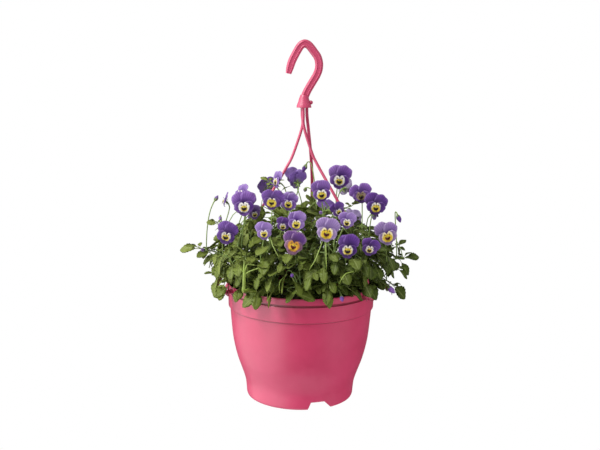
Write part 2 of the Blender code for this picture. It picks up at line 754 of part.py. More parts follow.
class Plant:
    """One rooted viola: its pieces, and the search trees of them that others keep clear of."""

    def __init__(self, name):
        self.name = name
        x, y = crown_place(name)
        self.foot = Vector((x, y, CROWN_TOP - CROWN_SINK))
        self.shoots = []
        crown = f"{name}_crown"
        place = crown_place(name)
        self.pieces = [
            cylinder(crown, CROWN_RADIUS, CROWN_FOOT, CROWN_TOP, place, CROWN_SIDES, HELPERS)
        ]
        self.trees = []

    def add(self, obj, tree):
        self.pieces.append(obj)
        self.trees.append(tree)

    def label(self, kind):
        return f"{self.name}_{kind}_{len(self.pieces)}"


def touches(tree, others):
    return any(tree.overlap(other) for other in others)


def shoot_path(foot, end, bend, steps):
    height = max(0.045, (end.z - foot.z) * 0.75)
    outward = Vector((end.x - foot.x, end.y - foot.y, 0))
    side = Vector((-outward.y, outward.x, 0))
    first = foot + Vector((0, 0, height)) + outward * 0.12 + side * bend
    second = end - outward * 0.30 + Vector((0, 0, max(0.0, 0.235 - end.z) * 0.8 - 0.004)) + side * bend
    return bezier(foot, first, second, end, steps)


def grow_shoot(plant, end, blocked):
    """A shoot from the crown to its end, bent aside where something is in its way."""
    end = Vector(end)
    for bend in SHOOT_BENDS:
        path = shoot_path(plant.foot, end, bend, SHOOT_STEPS)
        probe = tube_probe(path[1:], SHOOT_RADIUS * SHOOT_PROBE)
        if not touches(probe, blocked):
            break
    else:
        raise RuntimeError(f"no free way for a shoot to {tuple(end)}")
    radii = [SHOOT_RADIUS * (1 - SHOOT_TAPER * i / SHOOT_STEPS) for i in range(SHOOT_STEPS + 1)]
    plant.add(tube(path, radii, plant.label("shoot")), probe)
    plant.shoots.append(path)


def grow_leaf(plant, place, direction, length, lean, blocked):
    """A leaf with its stalk sunk in the shoot; nothing is added where it would cross."""
    frame = leaf_frame(place, direction, lean)
    bm = leaf_blade(length, LEAF_PROBE_THICKNESS, LEAF_PROBE_START)
    bm.transform(frame)
    probe = BVHTree.FromBMesh(bm)
    bm.free()
    if touches(probe, blocked) or touches(probe, plant.trees):
        return False
    bm = leaf_blade(length, LEAF_THICKNESS)
    bm.transform(frame)
    name = plant.label("leaf")
    plant.add(add_object(name, mesh_from(bm, name), HELPERS), probe)
    return True


def dress_shoot(plant, path, leaf_length, pitch, side_leaves, blocked, draw):
    """The end leaf and the side leaves of a shoot, the latter by the golden angle."""
    ahead = path[-1] - path[-2]
    outward = Vector((ahead.x, ahead.y, 0)).normalized()
    rise = math.radians(pitch)
    direction = outward * math.cos(rise) + Vector((0, 0, math.sin(rise)))
    root = path[-1] - (path[-1] - path[-2]).normalized() * 0.0012
    grow_leaf(plant, root, direction, leaf_length * 1.15, 0, blocked)
    start = draw.uniform(0, 360)
    for index in range(side_leaves):
        share = 0.50 + 0.42 * (index + 0.5) / side_leaves
        spot = share * (len(path) - 1)
        low = min(int(spot), len(path) - 2)
        place = path[low].lerp(path[low + 1], spot - low)
        length = leaf_length * draw.uniform(0.75, 1.05) + 0.006
        for attempt in range(LEAF_TRIES):
            angle = math.radians(start + GOLDEN_ANGLE * index + 40 * attempt)
            rise = math.radians(draw.uniform(-5, 40))
            level = Vector((math.cos(angle), math.sin(angle), 0))
            direction = level * math.cos(rise) + Vector((0, 0, math.sin(rise)))
            if grow_leaf(plant, place, direction, length, draw.uniform(-0.4, 0.4), blocked):
                break
            length *= 0.96


def grow_stalk(plants, frame, radius, blocked_by):
    """A flower stalk from the best free shoot, which ends from behind in the flower's calyx."""
    forward = frame.to_3x3() @ Vector((0, 0, 1))
    back = frame.translation - forward * CALYX_DEPTH
    choices = []
    for plant in plants:
        for path in plant.shoots:
            for index in range(1, len(path) - 1):
                start = path[index].lerp(path[index + 1], 0.5)
                drop = back.z - start.z
                if drop < 0.018 and start.z > STALK_LOWEST:
                    continue
                level = math.hypot(back.x - start.x, back.y - start.y)
                cost = level + abs(drop - STALK_USUAL_DROP) * 0.6
                choices.append((cost, len(choices), plant, start))
    choices.sort(key=lambda choice: choice[:2])
    for _, _, plant, start in choices[:STALK_TRIES]:
        span = (back - start).length
        for bend in STALK_BENDS:
            side = Vector((-forward.y, forward.x, 0)) * bend * span * 0.5
            first = start + Vector((0, 0, span * 0.5)) + side
            second = back - forward * min(0.016, span * 0.4) + side * 0.3
            path = bezier(start, first, second, back, STALK_STEPS)
            probe = tube_probe(path, STALK_RADIUS * STALK_PROBE)
            if touches(probe, blocked_by[plant.name]):
                continue
            radii = [STALK_RADIUS] * STALK_STEPS + [radius * 0.8, radius]
            path.append(frame.translation)
            plant.add(tube(path, radii, plant.label("stalk")), probe)
            return
    raise RuntimeError(f"no free way for a stalk to {tuple(frame.translation)}")


def union(plant):
    """The plant's pieces joined into one body, which replaces them."""
    joined = new_collection(f"{plant.name}_pieces")
    for piece in plant.pieces[1:]:
        joined.objects.link(piece)
        HELPERS.objects.unlink(piece)
    base = plant.pieces[0]
    boolean = base.modifiers.new("Join", "BOOLEAN")
    boolean.operation = "UNION"
    boolean.operand_type = "COLLECTION"
    boolean.collection = joined
    boolean.solver = "MANIFOLD"
    mesh = evaluated_mesh(base)
    for piece in plant.pieces:
        bpy.data.objects.remove(piece)
    bpy.data.collections.remove(joined)
    return add_object(plant.name, mesh, PARTS, "leaf")


def grow_plants(fixed, blooms, buds):
    """Every plant: shoots first, then flower stalks, then leaves in the room that is left."""
    section("stem_section", round_outline(STEM_SIDES, 1, 1))
    plants = [Plant(name) for name in CROWNS]
    flowers = [surface(obj.data, obj.matrix_local) for obj in blooms + buds]

    def others(plant):
        trees = [tree for other in plants if other is not plant for tree in other.trees]
        return fixed + flowers + trees

    for plant in plants:
        for end, length, pitch, side_leaves in SHOOTS[plant.name]:
            grow_shoot(plant, end, others(plant))
    for obj in blooms + buds:
        frame = obj.matrix_local.copy()
        is_bud = obj in buds
        inset = CLEARANCE if is_bud else PETAL_THICKNESS / 2 + CLEARANCE
        frame = frame @ Matrix.Translation((0, 0, -inset))
        radius = CALYX_RADIUS * (BUD_CALYX_SHARE if is_bud else 1)
        blocked_by = {plant.name: others(plant) for plant in plants}
        grow_stalk(plants, frame, radius, blocked_by)
    for plant in plants:
        for path, (end, length, pitch, side_leaves) in zip(plant.shoots, SHOOTS[plant.name]):
            draw = random.Random(f"{SEED} {end}")
            dress_shoot(plant, path, length, pitch, side_leaves, others(plant), draw)
    return [union(plant) for plant in plants]


def main():
    hang_point = bpy.data.objects.new("hang_point", None)
    bpy.context.scene.collection.objects.link(hang_point)
    made = [pot(), soil(), hook()] + [strap(name) for name in STRAP_AZIMUTHS]
    fixed = [surface(evaluated_mesh(obj)) for obj in made]
    blooms = [bloom(index + 1, *values) for index, values in enumerate(BLOOMS)]
    buds = [bud(index + 1, *values) for index, values in enumerate(BUDS)]
    grow_plants(fixed, blooms, buds)
    hang_point.location.z = -HANG_HEIGHT
    bpy.data.collections.remove(HELPERS)


clear_scene()
PARTS = new_collection("viola_hanging_basket")
CUTTERS = new_collection("cutters", hidden=True)
HELPERS = new_collection("helpers")
main()
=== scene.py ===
"""Looks of the viola hanging basket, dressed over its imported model.

Metres, +Z up. Pieces are laid out with heights measured from the foot of the pot, as in the
model's own source, and let down at the end, so that the origin is the inside of the hook's bend.
"""

import json
import random
from math import atan2, cos, hypot, pi, radians, sin, sqrt, tau

import bmesh
import bpy
from mathutils import Matrix, Vector, noise
from mathutils.bvhtree import BVHTree

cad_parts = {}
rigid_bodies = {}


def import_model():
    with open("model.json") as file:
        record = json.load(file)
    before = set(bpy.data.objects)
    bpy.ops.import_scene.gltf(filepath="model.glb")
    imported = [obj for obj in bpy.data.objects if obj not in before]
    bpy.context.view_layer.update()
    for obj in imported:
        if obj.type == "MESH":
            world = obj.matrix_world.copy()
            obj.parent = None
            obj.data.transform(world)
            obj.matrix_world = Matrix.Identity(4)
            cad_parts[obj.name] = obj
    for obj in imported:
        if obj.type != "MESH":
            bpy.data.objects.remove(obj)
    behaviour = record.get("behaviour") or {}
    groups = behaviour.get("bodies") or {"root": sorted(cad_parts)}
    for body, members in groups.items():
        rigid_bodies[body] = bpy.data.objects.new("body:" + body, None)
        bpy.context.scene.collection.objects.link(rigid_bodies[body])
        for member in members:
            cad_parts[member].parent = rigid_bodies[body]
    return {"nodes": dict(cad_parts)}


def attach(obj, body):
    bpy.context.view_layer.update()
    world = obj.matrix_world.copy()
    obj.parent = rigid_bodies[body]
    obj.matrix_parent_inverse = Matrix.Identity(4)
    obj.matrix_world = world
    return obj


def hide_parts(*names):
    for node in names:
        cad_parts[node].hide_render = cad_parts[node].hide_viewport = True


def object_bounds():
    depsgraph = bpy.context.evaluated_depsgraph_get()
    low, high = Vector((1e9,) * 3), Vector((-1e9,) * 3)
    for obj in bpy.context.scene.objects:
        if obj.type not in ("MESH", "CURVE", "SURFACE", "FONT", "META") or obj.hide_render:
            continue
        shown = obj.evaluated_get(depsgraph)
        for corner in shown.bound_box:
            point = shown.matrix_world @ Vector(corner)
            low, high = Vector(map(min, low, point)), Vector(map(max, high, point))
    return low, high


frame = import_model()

CAD_BOX = [list(corner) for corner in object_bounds()]

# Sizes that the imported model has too
HANG_HEIGHT = 0.587
LIFT = Vector((0, 0, HANG_HEIGHT))
FOOT_RADIUS = 0.0905
FOOT_WALL = 0.0024
FLOOR_UNDERSIDE = 0.015
FLOOR_TOP = 0.0172
POT_LIP = ((0.1249, 0.197), (0.126, 0.195))
POT_BELLY = (
    (0.1207, 0.1535), (0.1168, 0.11), (0.1131, 0.088), (0.1078, 0.067), (0.1018, 0.05),
    (0.0963, 0.034), (0.0934, 0.022), (0.0916, 0.003),
)
POT_INSIDE = (
    (0.089, FLOOR_TOP), (0.094, 0.034), (0.1054, 0.067), (0.1144, 0.11), (0.1186, 0.15),
    (0.1218, 0.193),
)
NOTCH_AZIMUTHS = (-72, 48, 168)
NOTCH_DEPTH = 0.03
DRAIN_RADIUS = 0.0045
DRAIN_RING = 0.06
DRAIN_HOLES = 5
DRAIN_PAST = 0.005
STRAP_AZIMUTHS = {"strap_left": 205, "strap_right": 325, "strap_back": 85}
STRAP_WIDTH = 0.0052
STRAP_DEPTH = 0.0036
CLIP_RADIUS = 0.1342
CLIP_THICKNESS = 0.0024
CLIP_WIDTH = 0.014
CLIP_BOTTOM = 0.1835
CLIP_TOP = 0.201
CLIP_BAR = 0.0036
CLIP_TOP_SHARE = 0.75
CLIP_RISE = 0.014
CLIP_SETBACK = 0.004
CLIP_ROOT = 0.0016
SLOT_DEPTH = 0.01
SLOT_HEIGHT = 0.0086
TONGUE_WIDTH = 0.008
TONGUE_HEIGHT = 0.005
TONGUE_BOTTOM = 0.1874
TONGUE_ROOT = 0.1245
TONGUE_REACH = 0.141
TONGUE_HEAD = 0.0028
TONGUE_HEAD_WIDTH = 0.009
TONGUE_HEAD_DROP = 0.003
STRAP_ROUTES = {
    "strap_left": (
        (-0.0032, 0.0005, 0.4965), (-0.0026, 0.0, 0.478), (-0.0022, -0.0015, 0.458),
        (-0.0165, -0.0085, 0.413), (-0.027, -0.013, 0.392), (-0.0445, -0.021, 0.362),
        (-0.0635, -0.03, 0.332), (-0.09, -0.042, 0.29), (-0.111, -0.0518, 0.245),
    ),
    "strap_right": (
        (-0.0006, -0.0068, 0.4965), (-0.0002, -0.0075, 0.478), (0.0012, -0.009, 0.458),
        (0.015, -0.015, 0.416), (0.024, -0.02, 0.398), (0.043, -0.0335, 0.366),
        (0.062, -0.047, 0.334), (0.086, -0.062, 0.292), (0.101, -0.071, 0.25),
    ),
    "strap_back": (
        (0.0054, 0.0044, 0.4965), (0.0057, 0.005, 0.478), (0.009, 0.013, 0.45),
        (0.0132, 0.028, 0.413), (0.016, 0.045, 0.376), (0.017, 0.068, 0.334),
        (0.0155, 0.098, 0.285), (0.013, 0.12, 0.245),
    ),
}
HUB_CENTRE = (0.0005, 0.0)
HUB_BOTTOM = 0.49
HUB_HEIGHT = 0.018
HUB_RADIUS = 0.0125
HUB_TOP_RADIUS = 0.0076
SOCKET_DEPTH = 0.007
HOOK_WIDTH = 0.0132
HOOK_DEPTH = 0.0088
HOOK_LINE = (
    (-0.0256, -0.0421), (-0.0232, -0.032), (-0.0193, -0.0203), (-0.0105, -0.0033),
    (-0.0052, 0.004), (0.001, 0.0066), (0.0078, 0.0032), (0.0157, -0.0065),
    (0.0216, -0.0148), (0.0243, -0.025), (0.0237, -0.035), (0.0201, -0.0446),
    (0.0143, -0.0545), (0.006, -0.069), (0.0018, -0.079), (0.0005, -0.086),
)
HOOK_TIP_SHARES = (0.7, 0.94)
KNOB_PLACE = (0.0118, 0.0, 0.4985)
KNOB_RADIUS = 0.0034
SOIL_TOP = 0.169
SOIL_GAP = 0.0006
SOIL_RIM = ((0.115, 0.164), (0.1192, 0.162))
SOIL_WALL_TOP = 0.159
CROWN_TOP = 0.176
CROWN_SINK = 0.006
CROWNS = {
    "plant_left": (188, 0.072),
    "plant_front_left": (238, 0.074),
    "plant_front_right": (290, 0.076),
    "plant_right": (345, 0.072),
    "plant_back_right": (48, 0.072),
    "plant_back_left": (128, 0.072),
    "plant_centre": (90, 0.006),
}

# Shoots: where the shoot ends, the length of its end leaf, the leaf's pitch, side leaves
SHOOTS = {
    "plant_left": (
        ((-0.172, -0.002, 0.251), 0.032, 2, 2),
        ((-0.146, -0.022, 0.24), 0.02, -55, 1),
        ((-0.14, -0.018, 0.296), 0.018, 15, 2),
        ((-0.137, -0.042, 0.214), 0.034, -64, 1),
        ((-0.118, 0.028, 0.268), 0.028, 25, 2),
        ((-0.15, 0.042, 0.226), 0.03, -20, 2),
        ((-0.1, -0.028, 0.262), 0.027, 35, 2),
    ),
    "plant_front_left": (
        ((-0.124, -0.062, 0.212), 0.032, -68, 1),
        ((-0.098, -0.096, 0.208), 0.02, -62, 1),
        ((-0.071, -0.115, 0.214), 0.032, -62, 2),
        ((-0.05, -0.122, 0.212), 0.024, -66, 1),
        ((-0.089, -0.108, 0.258), 0.023, 62, 2),
        ((-0.104, -0.07, 0.262), 0.026, 20, 3),
        ((-0.052, -0.088, 0.264), 0.027, 30, 2),
    ),
    "plant_front_right": (
        ((0.04, -0.127, 0.218), 0.03, -62, 2),
        ((-0.004, -0.13, 0.214), 0.026, -55, 2),
        ((0.072, -0.117, 0.216), 0.03, -50, 2),
        ((0.012, -0.108, 0.258), 0.032, 25, 3),
        ((0.054, -0.098, 0.256), 0.029, 20, 2),
        ((-0.02, -0.092, 0.262), 0.026, 40, 2),
    ),
    "plant_right": (
        ((0.172, -0.004, 0.24), 0.027, 4, 2),
        ((0.162, 0.01, 0.256), 0.02, 35, 1),
        ((0.16, -0.026, 0.228), 0.024, -35, 1),
        ((0.15, -0.044, 0.204), 0.03, -38, 1),
        ((0.1, -0.092, 0.222), 0.034, -48, 2),
        ((0.112, -0.062, 0.262), 0.03, 25, 3),
        ((0.128, 0.014, 0.27), 0.026, 35, 2),
    ),
    "plant_back_right": (
        ((0.122, 0.088, 0.244), 0.032, 10, 2),
        ((0.086, 0.124, 0.222), 0.034, -45, 1),
        ((0.062, 0.092, 0.274), 0.032, 30, 2),
        ((0.146, 0.056, 0.216), 0.03, -40, 2),
        ((0.034, 0.134, 0.23), 0.028, -20, 2),
    ),
    "plant_back_left": (
        ((-0.112, 0.092, 0.246), 0.032, 10, 2),
        ((-0.072, 0.13, 0.222), 0.034, -45, 1),
        ((-0.05, 0.096, 0.276), 0.032, 30, 2),
        ((-0.136, 0.072, 0.216), 0.03, -40, 2),
        ((-0.024, 0.136, 0.226), 0.028, -25, 2),
    ),
    "plant_centre": (
        ((-0.056, 0.03, 0.362), 0.018, 30, 3),
        ((0.084, 0.006, 0.326), 0.017, 40, 2),
        ((0.036, -0.03, 0.316), 0.023, 35, 2),
        ((-0.024, -0.04, 0.292), 0.028, 30, 2),
        ((0.002, 0.044, 0.306), 0.03, 40, 1),
    ),
}

# Open blooms: place of the face, width, azimuth and pitch that it faces, roll to its own left
BLOOMS = (
    ((-0.0926, -0.074, 0.332), 0.0385, -98, 2, 4, "purple"),
    ((-0.101, -0.046, 0.35), 0.029, -140, 20, 10, "lilac"),
    ((-0.0482, -0.092, 0.3438), 0.033, -95, 5, -6, "violet"),
    ((-0.043, -0.0378, 0.37), 0.029, -150, 5, 12, "lilac"),
    ((-0.0102, -0.044, 0.37), 0.031, 120, 10, 0, "violet"),
    ((-0.022, -0.07, 0.338), 0.03, -100, 5, -8, "lilac"),
    ((0.0304, -0.078, 0.3552), 0.035, -88, 0, 8, "purple"),
    ((0.0608, -0.01, 0.3695), 0.04, -86, 2, -8, "purple"),
    ((0.0967, -0.034, 0.3476), 0.0345, -100, 5, 14, "purple"),
    ((0.1184, -0.058, 0.3325), 0.0375, -82, 2, -6, "violet"),
    ((0.0701, -0.1005, 0.3143), 0.027, -92, 8, -10, "lilac"),
    ((0.0581, -0.078, 0.328), 0.024, -80, 0, 20, "violet"),
    ((0.038, -0.119, 0.3002), 0.0395, -90, 4, -10, "pale"),
    ((-0.0091, -0.1138, 0.313), 0.0315, -90, 6, -5, "lilac"),
    ((-0.0132, -0.129, 0.281), 0.037, -84, 22, -16, "tawny"),
    ((-0.0588, -0.1151, 0.2976), 0.028, -94, 4, 6, "lilac"),
    ((-0.1208, -0.088, 0.287), 0.036, -96, 2, -14, "violet"),
    ((0.0711, -0.1222, 0.2743), 0.038, -90, 3, -5, "violet"),
    ((0.106, -0.106, 0.2729), 0.029, -84, 2, -16, "violet"),
    ((0.1376, -0.0715, 0.2869), 0.0385, -80, 4, 10, "pale"),
    ((-0.131, -0.006, 0.3319), 0.024, -165, 10, 0, "purple"),
    ((-0.077, -0.06, 0.319), 0.023, -70, 0, 10, "lilac"),
    ((-0.03, -0.094, 0.306), 0.023, -100, -5, 0, "violet"),
    ((-0.013, 0.06, 0.362), 0.035, 86, 8, 6, "purple"),
    ((-0.062, 0.064, 0.344), 0.034, 118, 6, -8, "violet"),
    ((0.072, 0.056, 0.35), 0.036, 60, 6, 10, "pale"),
    ((-0.112, 0.044, 0.316), 0.033, 155, 4, 4, "purple"),
    ((0.126, 0.042, 0.308), 0.034, 25, 4, -8, "violet"),
    ((-0.026, 0.11, 0.312), 0.035, 96, 6, -12, "lilac"),
    ((0.042, 0.116, 0.302), 0.033, 76, 4, 8, "violet"),
    ((-0.086, 0.104, 0.286), 0.034, 128, 4, 10, "purple"),
    ((0.096, 0.101, 0.284), 0.035, 50, 4, -6, "lilac"),
    ((0.006, 0.141, 0.268), 0.033, 88, 6, 5, "purple"),
)

# Buds: place of the base, length, azimuth and pitch that the tip points to, colour
BUDS = (
    ((0.006, 0.0000, 0.396), 0.015, 200, -62, "violet"),
    ((0.16, -0.004, 0.314), 0.016, -60, -50, "violet"),
    ((-0.147, -0.004, 0.333), 0.013, 60, 40, "lilac"),
    ((-0.134, -0.042, 0.312), 0.01, -90, -20, "lilac"),
    ((0.138, -0.096, 0.212), 0.018, -50, -25, "purple"),
    ((-0.16, -0.044, 0.256), 0.011, -120, 20, "lilac"),
    ((-0.014, -0.138, 0.24), 0.011, -95, -10, "violet"),
    ((0.062, -0.136, 0.206), 0.013, -80, -30, "violet"),
    ((0.03, -0.09, 0.328), 0.011, -100, 20, "lilac"),
    ((0.006, 0.09, 0.344), 0.013, 100, -30, "violet"),
)

# Growth of the shoots, stalks and plain leaves, by the same rules as in the model
LEAF_SIDE = ((0.38, 0.235), (0.56, 0.33), (0.66, 0.265), (0.84, 0.25))
LEAF_MIDDLE = 0.62
LEAF_FOLD = 0.2
LEAF_WAVE = 0.1
LEAF_DROOP = 0.22
LEAF_PROBE_THICKNESS = 0.0022
LEAF_PROBE_START = 0.16
LEAF_TRIES = 9
STEM_SIDES = 3
SHOOT_RADIUS = 0.0015
SHOOT_TAPER = 0.35
SHOOT_STEPS = 5
SHOOT_BENDS = (0, 0.15, -0.15, 0.3, -0.3, 0.45, -0.45)
SHOOT_PROBE = 1.6
STALK_RADIUS = 0.0009
STALK_STEPS = 4
STALK_BENDS = (0, 0.2, -0.2, 0.4, -0.4)
STALK_PROBE = 1.7
STALK_TRIES = 60
STALK_LOWEST = 0.206
STALK_USUAL_DROP = 0.07
CALYX_RADIUS = 0.0019
CALYX_DEPTH = 0.0042
BUD_CALYX_SHARE = 0.7
GOLDEN_ANGLE = 137.5
SEED = 41
CLEARANCE = 0.0003
PETAL_THICKNESS = 0.0007

# Finer shapes of the pot: cuts of a notch are width, shift aside, height and the top's share
NOTCH_CUTS = ((0.04, 0.0, 0.026, 0.5), (0.06, -0.0095, 0.0256, 0.12))
LIP_GROOVE = (
    (0.126, 0.1866), (0.1257, 0.1854), (0.1228, 0.1851), (0.1227, 0.1829), (0.1242, 0.1819),
)
BAND_GROOVE = ((0.1237, 0.1566), (0.1223, 0.1559), (0.1206, 0.1552), (0.1208, 0.1541))
BELLY_STEPS = 4

# Shade in the grooves: lowest and highest place, and how strong
CREASES = ((0.182, 0.186, 0.85), (0.1546, 0.1562, 0.45))
CREASE_SOFT = 0.0007
CREASE_COLOUR = (0.15, 0.004, 0.016)

# How the plastic pieces are turned, swept, eased and bevelled
ROUND_SIDES = 128
TURNING_RADIUS = 0.05
TURNED_MERGE = 0.00002
SWEPT_MERGE = 0.00001
CARVED_MERGE = 0.000004
EASE_STEPS = 3
EASE_LIMIT = 0.4
EASED_TURN = 0.14
POT_EASE = 0.0009
BAR_EASE = 0.0007
STRAP_EASE = 0.0003
EDGE_BEVEL = 0.0005
POT_SMOOTH_ANGLE = 40
HANGER_SMOOTH_ANGLE = 35
HOOK_SLOPE = 0.0033
HOOK_HOLLOW = 0.001
HOOK_HOLLOW_STEP = 0.0005
HOOK_STEPS = 5
HOOK_END_SHARE = 0.95
HUB_EDGE = 0.0008
SOCKET_ROOM = 0.0012
TONGUE_HEAD_RISE = 0.001
STRAP_STEPS = 6

# Half of a strap's section, as shares of its half width and half depth, and its back's share
STRAP_SECTION = ((1, -0.5), (1, 0.25), (0.82, 0.8), (0.5, 1), (0.34, 0.72))
STRAP_BACK_SHARE = 0.7

# Compost
CRUMBS = 2600
CRUMB_SIZE = 0.0019
PERLITE = 70
PERLITE_SIZE = 0.003
GRAIN_SIZES = (0.4, 1.0)
GRAIN_ROUGHNESS = (0.6, 1.15)
GRAIN_FLATNESS = 0.75
SOIL_RINGS = 46
SOIL_BUMPS = 0.0016
SOIL_BUMP_SCALE = 70
SOIL_SINK = 0.0008
SOIL_EDGE = 0.0004

# The finer leaf, as shares of its length
BLADE_VARIANTS = 8
BLADE_STATIONS = 12
BLADE_BASE = 0.26
BLADE_FOLDS = (0.14, 0.34)
BLADE_DROOPS = (0.14, 0.32)
BLADE_RIPPLES = (0.02, 0.06)
BLADE_SWINGS = (-0.06, 0.06)
BLADE_WIDTHS = (0.2, 0.25, 0.29, 0.33)
BLADE_BLUNTS = (0.85, 1.2)
BLADE_FULLNESS = 0.72
BLADE_TEETH = (0.93, 1.07)
BLADE_DEPTH = 0.022
BLADE_STALK = (0.0, 0.13, 0.3)
BLADE_STALK_RADIUS = 0.02
BLADE_STALK_DROP = 0.01
# How pale a leaf is by its place: paler above a height, and paler to the left as painted light from the
# key on the left, with some spread at random
YOUNG_HEIGHT = 0.2
YOUNG_UPWARDS = 4
PAINTED_LIGHT_LEFTWARDS = 3.0
YOUNG_SPREAD = 0.35

# Stems, and the crown that they all rise from: heights beside its foot, and radii
STEM_LOOK_SIDES = 6
STEM_STEPS = 2
STEM_SIDE = Vector((0.6, 0.8, 0.1))
CROWN_HEIGHTS = (-0.02, -0.005, 0.004, 0.009)
CROWN_RADII = (0.0042, 0.0043, 0.0034, 0.0014)

# Leaves that fill the plants out: along the shoots, through the dome and over the rim
OUTER_HANG = 45
END_SWING = 0.75
FILL_LEAVES = 10
FILL_TRIES = 7
FILL_PROBE = 0.0012
DOME_LEAVES = 900
DOME_TRIES = 12
DOME_LENGTHS = (0.026, 0.042)
DOME_REACH = 0.148
DOME_WAIST = 0.104
DOME_FOOT = 0.182
DOME_TOP = 0.315
DOME_FALL = 0.07
DOME_LOWEST = 0.192
DOME_SKIRT = 0.135
DOME_SHIFTS = {"room": 0.006, "leaves": 0.005}
SIGHT_REACH = 0.13
SIGHT_SHARE = 0.46
RIM_LEAVES = 170
RIM_LENGTHS = (0.022, 0.036)
RIM_RADII = (0.068, 0.106)
RIM_HEIGHTS = (0.182, 0.21)
COVER_STEP = 0.007
COVER_TRIES = 16
COVER_LENGTHS = (0.024, 0.038)
LEAF_CHORD = 0.98
PROBE_THICKNESS = 0.0006
PETIOLE_RADIUS = 0.0007
PETIOLE_PROBE = 0.0006

# The stout stem at the front: bends of its hidden part, shown places with radii, and its arms
STOUT_STEM_PLANT = "plant_front_left"
STOUT_STEM_BENDS = ((-0.062, -0.094, 0.2), (-0.086, -0.112, 0.212))
STOUT_STEM = (
    ((-0.0908, -0.118, 0.2061), 0.0026), ((-0.0893, -0.126, 0.2167), 0.0027),
    ((-0.0887, -0.132, 0.2304), 0.0025), ((-0.0883, -0.135, 0.2408), 0.0023),
    ((-0.0885, -0.136, 0.2507), 0.0014), ((-0.0882, -0.137, 0.2586), 0.0012),
    ((-0.0911, -0.137, 0.2639), 0.0009), ((-0.0963, -0.136, 0.2648), 0.0007),
)
STOUT_ARMS = (
    ((-0.0874, -0.135, 0.2379), (-0.0799, -0.137, 0.2433), (-0.0674, -0.138, 0.2481)),
    (
        (-0.0878, -0.135, 0.242), (-0.0853, -0.138, 0.25), (-0.083, -0.138, 0.2546),
        (-0.0726, -0.137, 0.2531),
    ),
    ((-0.089, -0.135, 0.2408), (-0.092, -0.137, 0.2446), (-0.0957, -0.137, 0.247)),
)
STEM_CLEAR = 0.013
STOUT_TUFT = 0.015
ARM_RADIUS = 0.001
ARM_LEAF = 0.017

# Pale stalks in front of the dark leaves: plant and places
FRONT_STALKS = (
    ("plant_front_right", (
        (0.0319, -0.113, 0.2864), (0.026, -0.126, 0.2731), (0.0202, -0.132, 0.2598),
        (0.0132, -0.134, 0.2483), (0.0123, -0.118, 0.2403),
    )),
    ("plant_front_right", (
        (0.0372, -0.113, 0.2853), (0.0376, -0.128, 0.2701), (0.0382, -0.133, 0.2518),
        (0.0391, -0.118, 0.2436),
    )),
    ("plant_front_left", (
        (-0.0496, -0.106, 0.2925), (-0.0451, -0.122, 0.281), (-0.0367, -0.13, 0.267),
        (-0.0351, -0.116, 0.2602),
    )),
    ("plant_front_right", (
        (0.0592, -0.122, 0.2223), (0.0613, -0.136, 0.231), (0.0687, -0.138, 0.2423),
        (0.085, -0.122, 0.242),
    )),
    ("plant_front_left", (
        (-0.0335, -0.122, 0.2062), (-0.0341, -0.137, 0.2166), (-0.0325, -0.139, 0.2292),
        (-0.0223, -0.122, 0.2358),
    )),
)
FRONT_STALK_RADIUS = 0.0007
FRONT_STALK_CLEAR = 0.006

# Leaves that grow over the straps: strap, lowest and highest place, the way the leaves point
COVERS = (
    ("strap_left", 0.214, 0.33, -90, -50),
    ("strap_right", 0.214, 0.322, -90, -50),
    ("strap_back", 0.235, 0.352, 90, 55),
)

# Leaves that stand out at the front: plant, root, tip, lean and how young
FRONT_LEAVES = (
    ("plant_left", (-0.1132, -0.076, 0.2066), (-0.1365, -0.092, 0.1887), -0.8, 0.3),
    ("plant_front_left", (-0.0985, -0.088, 0.2085), (-0.1052, -0.101, 0.185), -0.2, 0.25),
    ("plant_front_left", (-0.0597, -0.11, 0.2095), (-0.0889, -0.124, 0.1822), -0.6, 0.2),
    ("plant_front_left", (-0.0567, -0.123, 0.2167), (-0.0449, -0.134, 0.187), -0.5, 0.75),
    ("plant_front_left", (-0.0364, -0.123, 0.2194), (-0.0537, -0.137, 0.1965), 0.5, 0.6),
    ("plant_front_right", (-0.0223, -0.127, 0.2426), (-0.0335, -0.14, 0.21), 0.7, 0.8),
    ("plant_front_right", (-0.022, -0.121, 0.2105), (0.0184, -0.133, 0.1928), 0.6, 0.3),
    ("plant_front_right", (-0.0029, -0.126, 0.2179), (0.0216, -0.135, 0.2446), 1.1, 0.45),
    ("plant_front_right", (0.0399, -0.125, 0.2259), (0.0414, -0.139, 0.1923), 0.2, 0.15),
    ("plant_right", (0.0987, -0.104, 0.2239), (0.1065, -0.122, 0.2008), 0.8, 0.1),
    ("plant_right", (0.0765, -0.109, 0.2275), (0.0976, -0.124, 0.2592), 1.0, 0.2),
    ("plant_left", (-0.1206, -0.088, 0.255), (-0.1352, -0.104, 0.2256), -0.3, 0.3),
)

# Petals: hand, direction, middle and half length along it, half width, flare, lift, whether lower
PETAL_SHAPES = (
    (1, 66, 0.37, 0.34, 0.32, 0.18, -0.0014, 0),
    (-1, 66, 0.37, 0.34, 0.32, 0.18, -0.003, 0),
    (1, 14, 0.205, 0.21, 0.225, -0.05, 0.0016, 1),
    (-1, 14, 0.205, 0.21, 0.225, -0.05, 0.0022, 1),
    (1, -90, 0.12, 0.215, 0.25, -0.12, 0.0, 1),
)
PETAL_GRID = 10
PETAL_SHELL = 0.0003
PETAL_SIZES = (0.94, 1.05)
PETAL_TURNS = (-6, 6)
PETAL_RUFFLES = (0.015, 0.04)
PETAL_FRILLS = (0.015, 0.045)
PETAL_CURLS = (-0.1, 0.03)
UPPER_SPREAD = (-13, 4)
SEPAL_ROWS = ((0.0, 0.5), (0.35, 1.0), (0.7, 0.7))
SEPALS = 5
BUD_SIDES = 18
BUD_RINGS = 12

